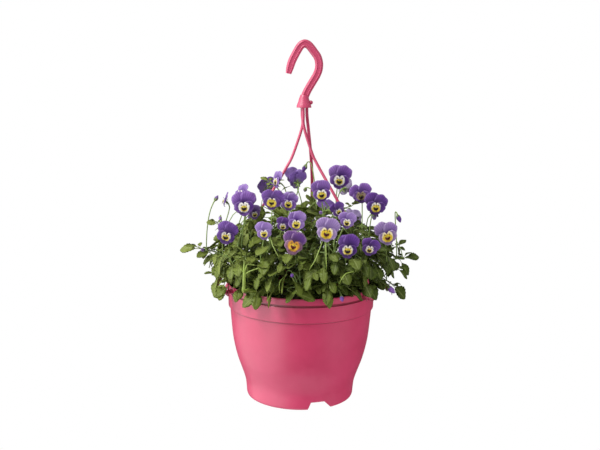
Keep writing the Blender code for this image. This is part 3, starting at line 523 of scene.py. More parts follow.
# How much wider than usual the yellow is, by the bloom's number
GOLD_SHARES = {
    1: 0.95, 3: 1.45, 6: 1.25, 7: 1.25, 8: 0.95, 9: 0.85, 10: 1.2, 13: 1.15, 14: 1.3, 16: 1.15,
    17: 1.05, 18: 1.05, 19: 0.9, 20: 1.1,
}

# Camera and stage
CAMERA_PLACE = (-0.0033, -1.4161, -0.0509)
CAMERA_TILT = -9.733
CAMERA_TURN = 0.794
CAMERA_LENS = 51
SENSOR_WIDTH = 36
FLOOR_HEIGHT = -0.94
FLOOR_RADIUS = 0.3
FLOOR_COLOUR = (0.93, 0.93, 0.93, 1)
AMBIENT = 0.42
AMBIENT_BELOW = 0.08
KEY_POWER = 3.0
KEY_SOFTNESS = 20
KEY_SIDE = (-0.58, -0.32, 0.75)

# Area lights: place, width and height, power, and whether the plastic mirrors it
LIGHT_AIM = (0, 0, -0.35)
AREA_LIGHTS = {
    "soft box": ((-1.15, -0.25, -0.45), (2.4, 2.6), 27, True),
    "front sheet": ((-0.95, -1.35, -0.45), (0.9, 2.4), 3.5, True),
    "fill": ((1.5, -0.8, -0.85), (1.4, 1.4), 22, False),
}

# Colours: a petal's look also says how wide its marks are and how strong its edge and lines
DUST_SHARE = 0.2
DUST_COLOUR = (0.55, 0.4, 0.34)
POT_COLOURS = ((0.5, 0.03, 0.098), (0.545, 0.04, 0.118))
HANGER_COLOURS = ((0.5, 0.036, 0.11), (0.56, 0.05, 0.135))
LEAF_COLOURS = (
    (0.048, 0.072, 0.008), (0.11, 0.15, 0.021), (0.188, 0.23, 0.042), (0.235, 0.27, 0.09)
)
STEM_COLOURS = ((0.095, 0.15, 0.035), (0.235, 0.34, 0.085))
YOUNG_STEM_COLOURS = ((0.28, 0.385, 0.055), (0.3, 0.41, 0.095))
STEM_FLUSH = (0.15, 0.12, 0.06)
PETAL_FOOT = (0.3, 0.34, 0.16)
EYE_SPOTS = (0.09, 0.08, 0.03)
WHITE_HALO = (0.8, 0.76, 0.72)
YELLOW_EYE = (0.68, 0.51, 0.05)
DARK_MOUTH = (0.022, 0.006, 0.012)
PETAL_LOOKS = {
    "purple": {
        "deep": (0.032, 0.006, 0.095), "body": (0.11, 0.03, 0.235), "top": (0.18, 0.07, 0.325),
        "edge": (0.33, 0.2, 0.48), "halo": WHITE_HALO, "eye": YELLOW_EYE, "mouth": DARK_MOUTH,
        "ring": 0.225, "centre": 0.155, "rim": 0.5, "lines": 0.5,
    },
    "violet": {
        "deep": (0.021, 0.004, 0.066), "body": (0.066, 0.014, 0.168), "top": (0.105, 0.032, 0.235),
        "edge": (0.23, 0.12, 0.37), "halo": (0.76, 0.7, 0.62), "eye": YELLOW_EYE,
        "mouth": DARK_MOUTH, "ring": 0.205, "centre": 0.155, "rim": 0.42, "lines": 0.7,
    },
    "lilac": {
        "deep": (0.075, 0.024, 0.18), "body": (0.195, 0.095, 0.335), "top": (0.25, 0.145, 0.4),
        "edge": (0.41, 0.3, 0.56), "halo": (0.8, 0.74, 0.66), "eye": (0.7, 0.54, 0.07),
        "mouth": DARK_MOUTH, "ring": 0.21, "centre": 0.155, "rim": 0.5, "lines": 0.5,
    },
    "pale": {
        "deep": (0.07, 0.024, 0.16), "body": (0.34, 0.24, 0.42), "top": (0.235, 0.13, 0.375),
        "edge": (0.48, 0.38, 0.57), "halo": (0.8, 0.7, 0.42), "eye": (0.72, 0.5, 0.03),
        "mouth": (0.08, 0.01, 0.012), "ring": 0.24, "centre": 0.19, "rim": 0.5, "lines": 0.8,
    },
    "tawny": {
        "deep": (0.035, 0.008, 0.06), "body": (0.2, 0.07, 0.09), "top": (0.105, 0.036, 0.205),
        "edge": (0.36, 0.22, 0.36), "halo": (0.5, 0.22, 0.025), "eye": (0.7, 0.42, 0.03),
        "mouth": (0.1, 0.012, 0.01), "ring": 0.25, "centre": 0.18, "rim": 0.55, "lines": 0.8,
    },
}
# Painted shade: bloom 9's face darkened as if in its neighbour's shadow, a shaded copy of the purple look
PETAL_LOOKS["shaded"] = {
    **PETAL_LOOKS["purple"], "halo": (0.27, 0.19, 0.13), "eye": (0.2, 0.13, 0.03)
}
SHADED_BLOOMS = {9: "shaded"}
PETAL_BACKS = {
    "purple": ((0.29, 0.175, 0.5), (0.165, 0.078, 0.34)),
    "violet": ((0.245, 0.125, 0.48), (0.145, 0.06, 0.32)),
    "lilac": ((0.4, 0.31, 0.53), (0.26, 0.16, 0.42)),
    "pale": ((0.42, 0.34, 0.52), (0.28, 0.19, 0.4)),
    "tawny": ((0.33, 0.2, 0.33), (0.21, 0.09, 0.22)),
}

# Painted shade: how leaves darken from left to right, away from the key light; and where stems turn paler
# as they rise
LEAF_SHADE = (0.02, 0.12, 0.1, -0.34)
STEM_PALING = (-0.4, -0.28)


# Plain helpers

def mesh_of(bm, name, *finishes, closed=True):
    """The mesh of a drawing in these materials; closed shells are turned to face outwards."""
    if closed:
        bm.normal_update()
        bmesh.ops.recalc_face_normals(bm, faces=bm.faces)
    mesh = bpy.data.meshes.new(name)
    bm.to_mesh(mesh)
    bm.free()
    for finish in finishes:
        mesh.materials.append(finish)
    return mesh


def drawing_of(mesh):
    bm = bmesh.new()
    bm.from_mesh(mesh)
    return bm


def add_part(bm, part):
    """Puts one drawing into another and lets it go."""
    held = mesh_of(part, "held", closed=False)
    bm.from_mesh(held)
    bpy.data.meshes.remove(held)


def ring_faces(rings):
    """The corners of the faces that join each closed ring of points to the next."""
    for low, high in zip(rings, rings[1:]):
        for k in range(len(low)):
            after = (k + 1) % len(low)
            yield low[k], low[after], high[after], high[k]


def seeded(label):
    """Random draws that are the same in every run."""
    return random.Random(f"{SEED} {label}")


def on_circle(radius, angle):
    return radius * cos(angle), radius * sin(angle)


def new_object(name, data):
    obj = bpy.data.objects.new(name, data)
    bpy.context.scene.collection.objects.link(obj)
    return obj


def remove_object(obj):
    bpy.data.objects.remove(obj, do_unlink=True)


def evaluated_mesh(obj):
    """The object's mesh with its modifiers applied; the object itself is removed."""
    bpy.context.view_layer.update()
    graph = bpy.context.evaluated_depsgraph_get()
    mesh = bpy.data.meshes.new_from_object(obj.evaluated_get(graph))
    remove_object(obj)
    return mesh


def smooth_all(mesh):
    for face in mesh.polygons:
        face.use_smooth = True
    return mesh


def smooth_below(mesh, angle):
    """Smooth faces, with edges sharper than the angle kept."""
    bm = drawing_of(mesh)
    limit = radians(angle)
    for face in bm.faces:
        face.smooth = True
    for edge in bm.edges:
        edge.smooth = edge.is_manifold and edge.calc_face_angle(0) < limit
    bm.to_mesh(mesh)
    bm.free()


def set_attribute(mesh, name, kind, values):
    """A named value on each point of the mesh, from one flat list."""
    made = mesh.attributes.new(name, kind, "POINT")
    made.data.foreach_set("vector" if kind == "FLOAT_VECTOR" else "value", values)


def use_one_material(mesh, finish):
    mesh.materials.clear()
    mesh.materials.append(finish)
    for face in mesh.polygons:
        face.material_index = 0
    return mesh


def join_meshes(name, meshes):
    """One mesh of several, each of which keeps its own materials."""
    bm = bmesh.new()
    slots = []
    for mesh in meshes:
        for made in mesh.materials:
            if made not in slots:
                slots.append(made)
        places = [slots.index(made) for made in mesh.materials]
        first = len(bm.faces)
        bm.from_mesh(mesh)
        bm.faces.ensure_lookup_table()
        for face in bm.faces[first:]:
            face.material_index = places[face.material_index]
    return mesh_of(bm, name, *slots, closed=False)


def finish_piece(name, mesh, node):
    """The mesh let down to the hang point, as the piece that stands for a node."""
    mesh.transform(Matrix.Translation(-LIFT))
    piece = new_object(name, mesh)
    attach(piece, "root")
    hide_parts(node)


def finish_moulding(obj, name, node, finish, angle):
    mesh = use_one_material(obj.data, finish)
    remove_object(obj)
    smooth_below(mesh, angle)
    finish_piece(name, mesh, node)


def eased(points, radius):
    """The same line with each of its corners rounded off."""
    made = [Vector(points[0])]
    for before, corner, after in zip(points, points[1:], points[2:]):
        before, corner, after = Vector(before), Vector(corner), Vector(after)
        if (corner - before).angle(after - corner, 0) < EASED_TURN:
            made.append(corner)
            continue
        start, end = [
            corner + (end - corner).normalized() * min(radius, (end - corner).length * EASE_LIMIT)
            for end in (before, after)
        ]
        for step in range(EASE_STEPS + 1):
            t = step / EASE_STEPS
            made.append(start * (1 - t) ** 2 + corner * 2 * t * (1 - t) + end * t * t)
    made.append(Vector(points[-1]))
    return made


def flowing(points, steps):
    """A smooth line that passes through all the points."""
    places = [Vector(point) for point in points]
    made = [places[0]]
    for index, (start, end) in enumerate(zip(places, places[1:])):
        leave = (end - places[max(index - 1, 0)]) / 2
        arrive = (places[min(index + 2, len(places) - 1)] - start) / 2
        for step in range(1, steps + 1):
            t = step / steps
            made.append(
                start * (2 * t**3 - 3 * t**2 + 1) + leave * (t**3 - 2 * t**2 + t)
                + end * (3 * t**2 - 2 * t**3) + arrive * (t**3 - t**2)
            )
    return made


def bezier(a, b, c, d, steps):
    points = []
    for step in range(steps + 1):
        t = step / steps
        s = 1 - t
        points.append(a * s**3 + b * 3 * s * s * t + c * 3 * s * t * t + d * t**3)
    return points


def heading(azimuth, rise):
    """The direction at this azimuth and rise, both in radians."""
    level = Vector((cos(azimuth), sin(azimuth), 0))
    return level * cos(rise) + Vector((0, 0, sin(rise)))


def radial_frame(azimuth, radius, height):
    """X along the rim, Y outwards, Z up, at this azimuth."""
    turn = Matrix.Rotation(radians(azimuth - 90), 4, "Z")
    return turn @ Matrix.Translation((0, radius, height))


def axes_frame(x, y, z, place):
    """The frame with these axes at this place."""
    turned = Matrix((x, y, z)).transposed().to_4x4()
    turned.translation = place
    return turned


def facing_frame(place, azimuth, pitch, roll=0):
    """Z towards the direction given, Y up, turned about Z by the roll."""
    angle = radians(azimuth)
    forward = heading(angle, radians(pitch))
    side = Vector((-sin(angle), cos(angle), 0))
    turned = axes_frame(side, forward.cross(side), forward, place)
    return turned @ Matrix.Rotation(radians(roll), 4, "Z")


def block(name, size, matrix, top_share=1.0, bevel=0.0):
    """A block centred on the matrix, whose top may be shorter in X than its foot."""
    bm = bmesh.new()
    bmesh.ops.create_cube(bm, size=1.0)
    for vert in bm.verts:
        vert.co = Vector(a * b for a, b in zip(vert.co, size))
        if vert.co.z > 0:
            vert.co.x *= top_share
    if bevel:
        bmesh.ops.bevel(bm, geom=bm.edges, offset=bevel, segments=2, affect="EDGES", profile=0.6)
    bm.transform(matrix)
    return new_object(name, mesh_of(bm, name))


def carve(obj, tools, operation="DIFFERENCE"):
    """The object with the tools cut away or added; the tools are removed."""
    for tool in tools:
        boolean = obj.modifiers.new(tool.name, "BOOLEAN")
        boolean.operation = operation
        boolean.object = tool
        boolean.solver = "EXACT"
    name = obj.name
    mesh = evaluated_mesh(obj)
    for tool in tools:
        remove_object(tool)
    bm = drawing_of(mesh)
    bmesh.ops.remove_doubles(bm, verts=bm.verts, dist=CARVED_MERGE)
    bmesh.ops.dissolve_degenerate(bm, edges=bm.edges, dist=CARVED_MERGE)
    bm.to_mesh(mesh)
    bm.free()
    return new_object(name, mesh)


# Nodes of every kind

def add_node(tree, kind, inputs=None, **settings):
    """A node with its settings made and its inputs set, or linked where a socket is given."""
    made = tree.nodes.new(kind)
    for label, value in settings.items():
        setattr(made, label, value)
    for label, value in (inputs or {}).items():
        if isinstance(value, bpy.types.NodeSocket):
            tree.links.new(value, made.inputs[label])
        else:
            made.inputs[label].default_value = value
    return made


def result(tree, kind, inputs=None, **settings):
    """The first output of a node made in that way."""
    return add_node(tree, kind, inputs, **settings).outputs[0]


# Geometry Nodes

def new_tree(name, *inputs):
    """A geometry tree with these named inputs, and the sockets that give their values."""
    tree = bpy.data.node_groups.new(name, "GeometryNodeTree")
    for label, kind, value in (("Geometry", "Geometry", None), *inputs):
        socket = tree.interface.new_socket(label, in_out="INPUT", socket_type=f"NodeSocket{kind}")
        if value is not None:
            socket.default_value = value
    tree.interface.new_socket("Geometry", in_out="OUTPUT", socket_type="NodeSocketGeometry")
    return tree, tree.nodes.new("NodeGroupInput").outputs


def end_tree(tree, geometry, finish):
    """Instances made real and the material set, which ends every tree."""
    real = result(tree, "GeometryNodeRealizeInstances", {"Geometry": geometry})
    coat = result(tree, "GeometryNodeSetMaterial", {"Geometry": real, "Material": finish})
    add_node(tree, "NodeGroupOutput", {"Geometry": coat})
    return tree


def named_value(tree, name, kind):
    return result(tree, "GeometryNodeInputNamedAttribute", {"Name": name}, data_type=kind)


def merged(tree, geometry, distance):
    return result(tree, "GeometryNodeMergeByDistance", {"Geometry": geometry, "Distance": distance})


def run_tree(obj, tree, values):
    """The mesh that the tree makes of the object, which is removed."""
    modifier = obj.modifiers.new(tree.name, "NODES")
    modifier.node_group = tree
    for item in tree.interface.items_tree:
        if item.in_out == "INPUT" and item.name in values:
            modifier[item.identifier] = values[item.name]
    return evaluated_mesh(obj)


def turning_tree():
    """Turns a profile about Z: its points give height and radius beyond the turning circle."""
    tree, given = new_tree(
        "turned on a circle", ("Sides", "Int", ROUND_SIDES),
        ("Turning Radius", "Float", TURNING_RADIUS), ("Material", "Material", None),
    )
    profile = result(tree, "GeometryNodeMeshToCurve", {"Mesh": given["Geometry"]})
    size = {"Resolution": given["Sides"], "Radius": given["Turning Radius"]}
    circle = result(tree, "GeometryNodeCurvePrimitiveCircle", size)
    upright = {"Curve": circle, "Normal": (0, 0, 1)}
    circle = result(tree, "GeometryNodeSetCurveNormal", upright, mode="FREE")
    skin = result(tree, "GeometryNodeCurveToMesh", {"Curve": circle, "Profile Curve": profile})
    return end_tree(tree, merged(tree, skin, TURNED_MERGE), given["Material"])


def sweeping_tree():
    """Sweeps an outline along smooth curves through an edge mesh that holds radius and side."""
    tree, given = new_tree(
        "swept along a path", ("Outline", "Object", None), ("Steps", "Int", 4),
        ("Material", "Material", None),
    )
    path = result(tree, "GeometryNodeMeshToCurve", {"Mesh": given["Geometry"]})
    path = result(tree, "GeometryNodeCurveSplineType", {"Curve": path}, spline_type="CATMULL_ROM")
    steps = {"Geometry": path, "Resolution": given["Steps"]}
    path = result(tree, "GeometryNodeSetSplineResolution", steps)
    sides = {"Curve": path, "Normal": named_value(tree, "side", "FLOAT_VECTOR")}
    path = result(tree, "GeometryNodeSetCurveNormal", sides, mode="FREE")
    outline = add_node(tree, "GeometryNodeObjectInfo", {"Object": given["Outline"]})
    skin = result(
        tree,
        "GeometryNodeCurveToMesh",
        {
            "Curve": path,
            "Profile Curve": outline.outputs["Geometry"],
            "Scale": named_value(tree, "radius", "FLOAT"),
            "Fill Caps": True,
        },
    )
    smooth = result(tree, "GeometryNodeSetShadeSmooth", {"Geometry": skin})
    return end_tree(tree, merged(tree, smooth, SWEPT_MERGE), given["Material"])


def planting_tree():
    """Sets one of a collection's shapes on each point, by the turn, size and kind it holds."""
    tree, given = new_tree(
        "shapes set on points", ("Shapes", "Collection", None), ("Material", "Material", None)
    )
    shapes = {"Collection": given["Shapes"], "Separate Children": True, "Reset Children": True}
    turn = {"Euler": named_value(tree, "turn", "FLOAT_VECTOR")}
    planted = {
        "Points": given["Geometry"],
        "Instance": result(tree, "GeometryNodeCollectionInfo", shapes),
        "Pick Instance": True,
        "Instance Index": named_value(tree, "kind", "INT"),
        "Rotation": result(tree, "FunctionNodeEulerToRotation", turn),
        "Scale": named_value(tree, "size", "FLOAT_VECTOR"),
    }
    return end_tree(tree, result(tree, "GeometryNodeInstanceOnPoints", planted), given["Material"])


def strewing_tree():
    """Strews grains over what faces up in a surface, turned and sized at random."""
    tree, given = new_tree(
        "grains strewn on a surface", ("Grain", "Object", None), ("Density", "Float", 1000.0),
        ("Smallest", "Float", 0.5), ("Largest", "Float", 1.0), ("Seed", "Int", 0),
        ("Material", "Material", None),
    )
    normal = result(tree, "GeometryNodeInputNormal")
    upward = {"A": split(tree, normal)["Z"], "B": 0.5}
    places = {
        "Mesh": given["Geometry"],
        "Selection": result(tree, "FunctionNodeCompare", upward),
        "Density": given["Density"],
        "Seed": given["Seed"],
    }
    turns = {"Max": (tau, tau, tau), "Seed": given["Seed"]}
    turn = result(tree, "FunctionNodeRandomValue", turns, data_type="FLOAT_VECTOR")
    size = add_node(tree, "FunctionNodeRandomValue", {"Seed": given["Seed"]})
    shown = [socket for socket in size.inputs if socket.enabled and socket.type == "VALUE"]
    tree.links.new(given["Smallest"], shown[0])
    tree.links.new(given["Largest"], shown[1])
    grain = add_node(tree, "GeometryNodeObjectInfo", {"Object": given["Grain"]})
    strewn = {
        "Points": result(tree, "GeometryNodeDistributePointsOnFaces", places),
        "Instance": grain.outputs["Geometry"],
        "Rotation": result(tree, "FunctionNodeEulerToRotation", {"Euler": turn}),
        "Scale": size.outputs[1],
    }
    return end_tree(tree, result(tree, "GeometryNodeInstanceOnPoints", strewn), given["Material"])


# Shader values and colours

def split(tree, vector):
    """The X, Y and Z of a vector."""
    return add_node(tree, "ShaderNodeSeparateXYZ", {"Vector": vector}).outputs


def calc(tree, operation, *values):
    """The result of a Math node on these values or sockets."""
    return result(tree, "ShaderNodeMath", dict(enumerate(values)), operation=operation)


def product(tree, first, *others):
    for other in others:
        first = calc(tree, "MULTIPLY", first, other)
    return first


def fade(tree, value, start, end, low=0.0, high=1.0):
    """The value carried smoothly from low at its start to high at its end."""
    inputs = {"Value": value, "From Min": start, "From Max": end, "To Min": low, "To Max": high}
    return result(tree, "ShaderNodeMapRange", inputs, interpolation_type="SMOOTHSTEP")


def inside(tree, value, start, end):
    """One up to the start, and fading to nothing at the end."""
    return fade(tree, value, start, end, 1.0, 0.0)


def blend(tree, share, first, second):
    """Two colours mixed; a colour is a socket or three numbers."""
    colours = [
        colour if isinstance(colour, bpy.types.NodeSocket) else (*colour, 1)
        for colour in (first, second)
    ]
    inputs = {0: share, 6: colours[0], 7: colours[1]}
    return add_node(tree, "ShaderNodeMix", inputs, data_type="RGBA").outputs[2]


def laid_over(tree, colour, other, *masks):
    """The colour with the other laid over it, as far as the product of the masks."""
    return blend(tree, product(tree, *masks), colour, other)


def cloud(tree, place, scale, detail=2.0, roughness=0.5):
    inputs = {"Vector": place, "Scale": scale, "Detail": detail, "Roughness": roughness}
    return add_node(tree, "ShaderNodeTexNoise", inputs).outputs["Fac"]


def object_place(tree):
    return tree.nodes.new("ShaderNodeTexCoord").outputs["Object"]


def plane_place(tree):
    """The two coordinates of the piece's own map, from -1 to 1."""
    spot = split(tree, result(tree, "ShaderNodeUVMap", uv_map="UVMap"))
    return [calc(tree, "MULTIPLY_ADD", spot[axis], 2, -1) for axis in ("X", "Y")]


def attribute(tree, name):
    return add_node(tree, "ShaderNodeAttribute", attribute_name=name).outputs["Fac"]


def ring_distance(tree, across, along, centre, wide, high):
    """How far out a place lies, where one is the edge of an ellipse above the middle."""
    across = calc(tree, "DIVIDE", across, wide)
    along = calc(tree, "DIVIDE", calc(tree, "SUBTRACT", along, centre), high)
    total = calc(tree, "ADD", calc(tree, "POWER", across, 2), calc(tree, "POWER", along, 2))
    return calc(tree, "SQRT", total)


def stripes(tree, value, start, end):
    """Thin lines at each half turn of a value, with soft sides."""
    line = calc(tree, "ABSOLUTE", calc(tree, "SUBTRACT", calc(tree, "FRACT", value), 0.5))
    return inside(tree, line, start, end)


# Shader groups

def new_group(name, inputs):
    """A shader group with these inputs, and the sockets that give their values."""
    tree = bpy.data.node_groups.new(name, "ShaderNodeTree")
    for label, value in inputs.items():
        socket = tree.interface.new_socket(label, in_out="INPUT", socket_type="NodeSocketFloat")
        socket.default_value = value
    return tree, tree.nodes.new("NodeGroupInput").outputs


def end_group(tree, outputs):
    """The group with these masks and values as its named outputs."""
    for label in outputs:
        tree.interface.new_socket(label, in_out="OUTPUT", socket_type="NodeSocketFloat")
    add_node(tree, "NodeGroupOutput", outputs)
    return tree


def placed_group(tree, group, values=None):
    return add_node(tree, "ShaderNodeGroup", values, node_tree=group).outputs


def moulding_group():
    """The skin of moulded plastic: fine grain, slow flow marks and dust on what faces up."""
    sizes = {"Grain Scale": 900.0, "Flow Scale": 16.0, "Dust Scale": 60.0}
    tree, given = new_group("moulded skin", sizes)
    place = object_place(tree)
    normal = tree.nodes.new("ShaderNodeNewGeometry").outputs["Normal"]
    lying = fade(tree, split(tree, normal)["Z"], 0.1, 0.9)
    speckle = cloud(tree, place, given["Dust Scale"], 4.0, 0.7)
    return end_group(tree, {
        "Grain": cloud(tree, place, given["Grain Scale"], 1.0),
        "Flow": cloud(tree, place, given["Flow Scale"], 3.0, 0.6),
        "Dust": product(tree, lying, fade(tree, speckle, 0.45, 0.75)),
    })


def marking_group():
    """Where a viola's face is marked, by the place in the plane of the bloom."""
    sizes = {"Ring Size": 0.21, "Centre Size": 0.13, "Whisker Count": 26.0}
    tree, given = new_group("viola face", sizes)
    x, y = plane_place(tree)
    wobble = calc(tree, "MULTIPLY_ADD", cloud(tree, object_place(tree), 420, 2.0), 0.1, -0.05)

    def round_about(centre, wide=1.0, high=1.0):
        return ring_distance(tree, x, y, centre, wide, high)

    reach = calc(tree, "ADD", round_about(0.045), wobble)
    ring = given["Ring Size"]
    middle = given["Centre Size"]
    centre_reach = calc(tree, "ADD", round_about(-0.015, wide=1.15), wobble)
    smile = inside(tree, round_about(-0.006, 0.118, 0.1), 0.85, 1.1)
    above_smile = fade(tree, round_about(0.078, 0.094, 0.07), 0.8, 1.1)
    beside_eye = calc(tree, "SUBTRACT", calc(tree, "ABSOLUTE", x), 0.105)
    eye_reach = ring_distance(tree, beside_eye, y, 0.13, 1.0, 1.0)
    angle = calc(tree, "ARCTAN2", x, calc(tree, "SUBTRACT", 0.03, y))
    turns = product(tree, angle, calc(tree, "DIVIDE", given["Whisker Count"], tau))
    far = calc(tree, "ADD", round_about(0.03), wobble)
    band = product(tree, fade(tree, far, 0.07, 0.1), inside(tree, far, 0.16, 0.25))
    fine = calc(tree, "SINE", product(tree, angle, 38))
    return end_group(tree, {
        "Ring": inside(tree, reach, product(tree, ring, 0.86), product(tree, ring, 1.12)),
        "Centre": inside(tree, centre_reach, product(tree, middle, 0.75), middle),
        "Mouth": product(tree, smile, above_smile),
        "Eyes": inside(tree, eye_reach, 0.022, 0.044),
        "Whiskers": product(tree, stripes(tree, turns, 0.06, 0.2), band),
        "Reach": reach,
        "Veins": calc(tree, "MULTIPLY_ADD", fine, 0.5, 0.5),
    })


def vein_group():
    """A leaf's veins, margin and mottling, by the place along and across the blade."""
    tree, given = new_group("leaf veins", {"Pairs": 6.0, "Mottle Scale": 240.0})
    across, along = plane_place(tree)
    aside = calc(tree, "ABSOLUTE", across)
    slant = calc(tree, "SUBTRACT", along, product(tree, aside, 0.55))
    pairs = product(tree, slant, given["Pairs"])
    return end_group(tree, {
        "Midrib": inside(tree, aside, 0.03, 0.12),
        "Veins": product(tree, stripes(tree, pairs, 0.04, 0.16), fade(tree, aside, 0.9, 0.4)),
        "Margin": fade(tree, aside, 0.82, 1.0),
        "Mottle": cloud(tree, object_place(tree), given["Mottle Scale"], 3.0, 0.6),
    })


# Materials

def new_material(name, roughness, **constants):
    """A material and its tree, with the constant settings on its shader's own sockets."""
    made = bpy.data.materials.new(name)
    made.use_nodes = True
    shader = made.node_tree.nodes["Principled BSDF"]
    for label, value in {"Roughness": roughness, **constants}.items():
        shader.inputs[label.replace("_", " ")].default_value = value
    return made, made.node_tree


def end_material(made, colour, height, depth, rough=None):
    """The material with its colour, its bumps and any change of its roughness linked."""
    tree = made.node_tree
    shader = tree.nodes["Principled BSDF"]
    bumps = {"Height": height, "Distance": depth, "Strength": 1.0}
    tree.links.new(result(tree, "ShaderNodeBump", bumps), shader.inputs["Normal"])
    tree.links.new(colour, shader.inputs["Base Color"])
    if rough is not None:
        tree.links.new(rough, shader.inputs["Roughness"])
    return made


def plastic_material(name, base, light, group, creases=()):
    """Moulded plastic with slow flow marks, fine grain, a little dust and shade in its creases."""
    made, tree = new_material(
        name, 0.4, Specular_IOR_Level=0.85, Coat_Weight=0.35, Coat_Roughness=0.46
    )
    skin = placed_group(tree, group)
    colour = blend(tree, fade(tree, skin["Flow"], 0.3, 0.7), base, light)
    dusty = product(tree, skin["Dust"], DUST_SHARE)
    colour = blend(tree, dusty, colour, DUST_COLOUR)
    height = split(tree, object_place(tree))["Z"]
    for low, high, depth in creases:
        above = fade(tree, height, low - HANG_HEIGHT - CREASE_SOFT, low - HANG_HEIGHT)
        below = fade(tree, height, high - HANG_HEIGHT, high - HANG_HEIGHT + CREASE_SOFT, depth, 0.0)
        colour = laid_over(tree, colour, CREASE_COLOUR, above, below)
    rough = calc(tree, "MULTIPLY_ADD", skin["Flow"], 0.12, 0.36)
    rough = calc(tree, "MULTIPLY_ADD", dusty, 0.3, rough)
    return end_material(made, colour, skin["Grain"], 0.00006, rough)


def compost_material():
    made, tree = new_material("compost", 0.95)
    place = object_place(tree)
    patches = fade(tree, cloud(tree, place, 90, 3.0), 0.35, 0.65)
    colour = blend(tree, patches, (0.02, 0.012, 0.007), (0.075, 0.045, 0.025))
    flecks = fade(tree, cloud(tree, place, 700, 2.0), 0.62, 0.7)
    colour = blend(tree, flecks, colour, (0.2, 0.13, 0.075))
    return end_material(made, colour, cloud(tree, place, 600, 4.0, 0.7), 0.0008)


def perlite_material():
    made, tree = new_material("perlite", 0.85)
    place = object_place(tree)
    colour = blend(tree, cloud(tree, place, 500, 2.0), (0.5, 0.48, 0.42), (0.8, 0.79, 0.74))
    return end_material(made, colour, cloud(tree, place, 1500, 3.0), 0.0003)


def leaf_material(name, dark, light, young, vein, group):
    """A leaf whose green runs with its age and place: paler higher up, lighter to the left as painted
    light and darker to the right as painted shade; with paler veins and a soft gloss.
    """
    made, tree = new_material(name, 0.5, Specular_IOR_Level=0.2)
    marks = placed_group(tree, group)
    place = object_place(tree)
    # Painted shade: leaves darker towards the right, the side away from the key light
    shade = fade(tree, split(tree, place)["X"], *LEAF_SHADE)
    patches = calc(tree, "ADD", cloud(tree, place, 22, 2.0), shade)
    colour = blend(tree, fade(tree, patches, 0.35, 0.65), dark, light)
    colour = blend(tree, attribute(tree, "tint"), colour, young)
    colour = laid_over(tree, colour, dark, fade(tree, marks["Mottle"], 0.4, 0.7), 0.35)
    veined = calc(tree, "MAXIMUM", product(tree, marks["Veins"], 0.35), marks["Midrib"])
    colour = laid_over(tree, colour, vein, veined, 0.55)
    colour = laid_over(tree, colour, light, marks["Margin"], 0.25)
    height = calc(tree, "MULTIPLY_ADD", veined, -0.7, marks["Mottle"])
    rough = calc(tree, "MULTIPLY_ADD", marks["Mottle"], 0.2, 0.36)
    return end_material(made, colour, height, 0.0004, rough)


def stem_material(name, low, high):
    """A stem that is paler towards its top, with a faint flush of brown."""
    made, tree = new_material(name, 0.45)
    place = object_place(tree)
    colour = blend(tree, fade(tree, split(tree, place)["Z"], *STEM_PALING), low, high)
    flush = fade(tree, cloud(tree, place, 60, 2.0), 0.5, 0.7)
    colour = laid_over(tree, colour, STEM_FLUSH, flush, 0.25)
    return end_material(made, colour, cloud(tree, place, 900, 2.0), 0.0002)


def petal_material(name, look, group):
    """A petal's colours from the throat outwards, with the face marked on its lower petals."""
    made, tree = new_material(name, 0.55, Specular_IOR_Level=0.22, Sheen_Weight=0.14)
    middle = product(tree, attribute(tree, "gold"), look["centre"])
    marks = placed_group(tree, group, {"Ring Size": look["ring"], "Centre Size": middle})
    lower = attribute(tree, "lower")
    patches = fade(tree, cloud(tree, object_place(tree), 30, 1.0), 0.35, 0.65)
    body = blend(tree, fade(tree, marks["Reach"], 0.16, 0.42), look["deep"], look["body"])
    top = blend(tree, fade(tree, marks["Reach"], 0.18, 0.62), look["deep"], look["top"])
    colour = blend(tree, lower, top, body)
    colour = laid_over(tree, colour, look["edge"], patches, 0.3)
    rim = fade(tree, attribute(tree, "rim"), 0.72, 1.0)
    colour = laid_over(tree, colour, look["edge"], rim, look["rim"])
    colour = laid_over(tree, colour, look["deep"], marks["Veins"], 0.3)
    for mark, tone, *share in (
        ("Ring", look["halo"]), ("Centre", look["eye"]), ("Whiskers", look["mouth"], look["lines"]),
        ("Eyes", EYE_SPOTS, 0.8), ("Mouth", look["mouth"]),
    ):
        colour = laid_over(tree, colour, tone, marks[mark], lower, *share)
    return end_material(made, colour, marks["Veins"], 0.00012)


def petal_back_material(name, back, vein, group):
    """A petal's paler back, greenish at its foot."""
    made, tree = new_material(name, 0.6, Sheen_Weight=0.2)
    marks = placed_group(tree, group)
    patches = fade(tree, cloud(tree, object_place(tree), 40, 2.0), 0.35, 0.65)
    colour = laid_over(tree, back, vein, patches, 0.35)
    colour = blend(tree, fade(tree, marks["Reach"], 0.1, 0.35, 0.55, 0.0), colour, PETAL_FOOT)
    colour = laid_over(tree, colour, vein, marks["Veins"], 0.3)
    return end_material(made, colour, marks["Veins"], 0.00012)


# Turned and swept pieces

def wire_object(name, points, edges):
    mesh = bpy.data.meshes.new(name)
    mesh.from_pydata(points, edges, [])
    return new_object(name, mesh)


def turned_mesh(name, profile, finish):
    """A profile of radius and height turned about Z."""
    points = [(z, r - TURNING_RADIUS, 0) for r, z in profile]
    wire = wire_object(name, points, [(i, i + 1) for i in range(len(points) - 1)])
    return mesh_of(drawing_of(run_tree(wire, TURNING, {"Material": finish})), name, finish)


def outline_object(name, points, ease=0.0):
    """A closed outline for sweeping, with its corners eased, as an object that isn't kept."""
    if ease:
        points = eased([*points, points[0], points[1]], ease)[1:-1]
    count = len(points)
    edges = [(i, (i + 1) % count) for i in range(count)]
    outline = wire_object(name, [(x, y, 0) for x, y in points], edges)
    tree, given = new_tree(f"{name} as a curve")
    curve = result(tree, "GeometryNodeMeshToCurve", {"Mesh": given["Geometry"]})
    add_node(tree, "NodeGroupOutput", {"Geometry": curve})
    outline.modifiers.new("curve", "NODES").node_group = tree
    return outline


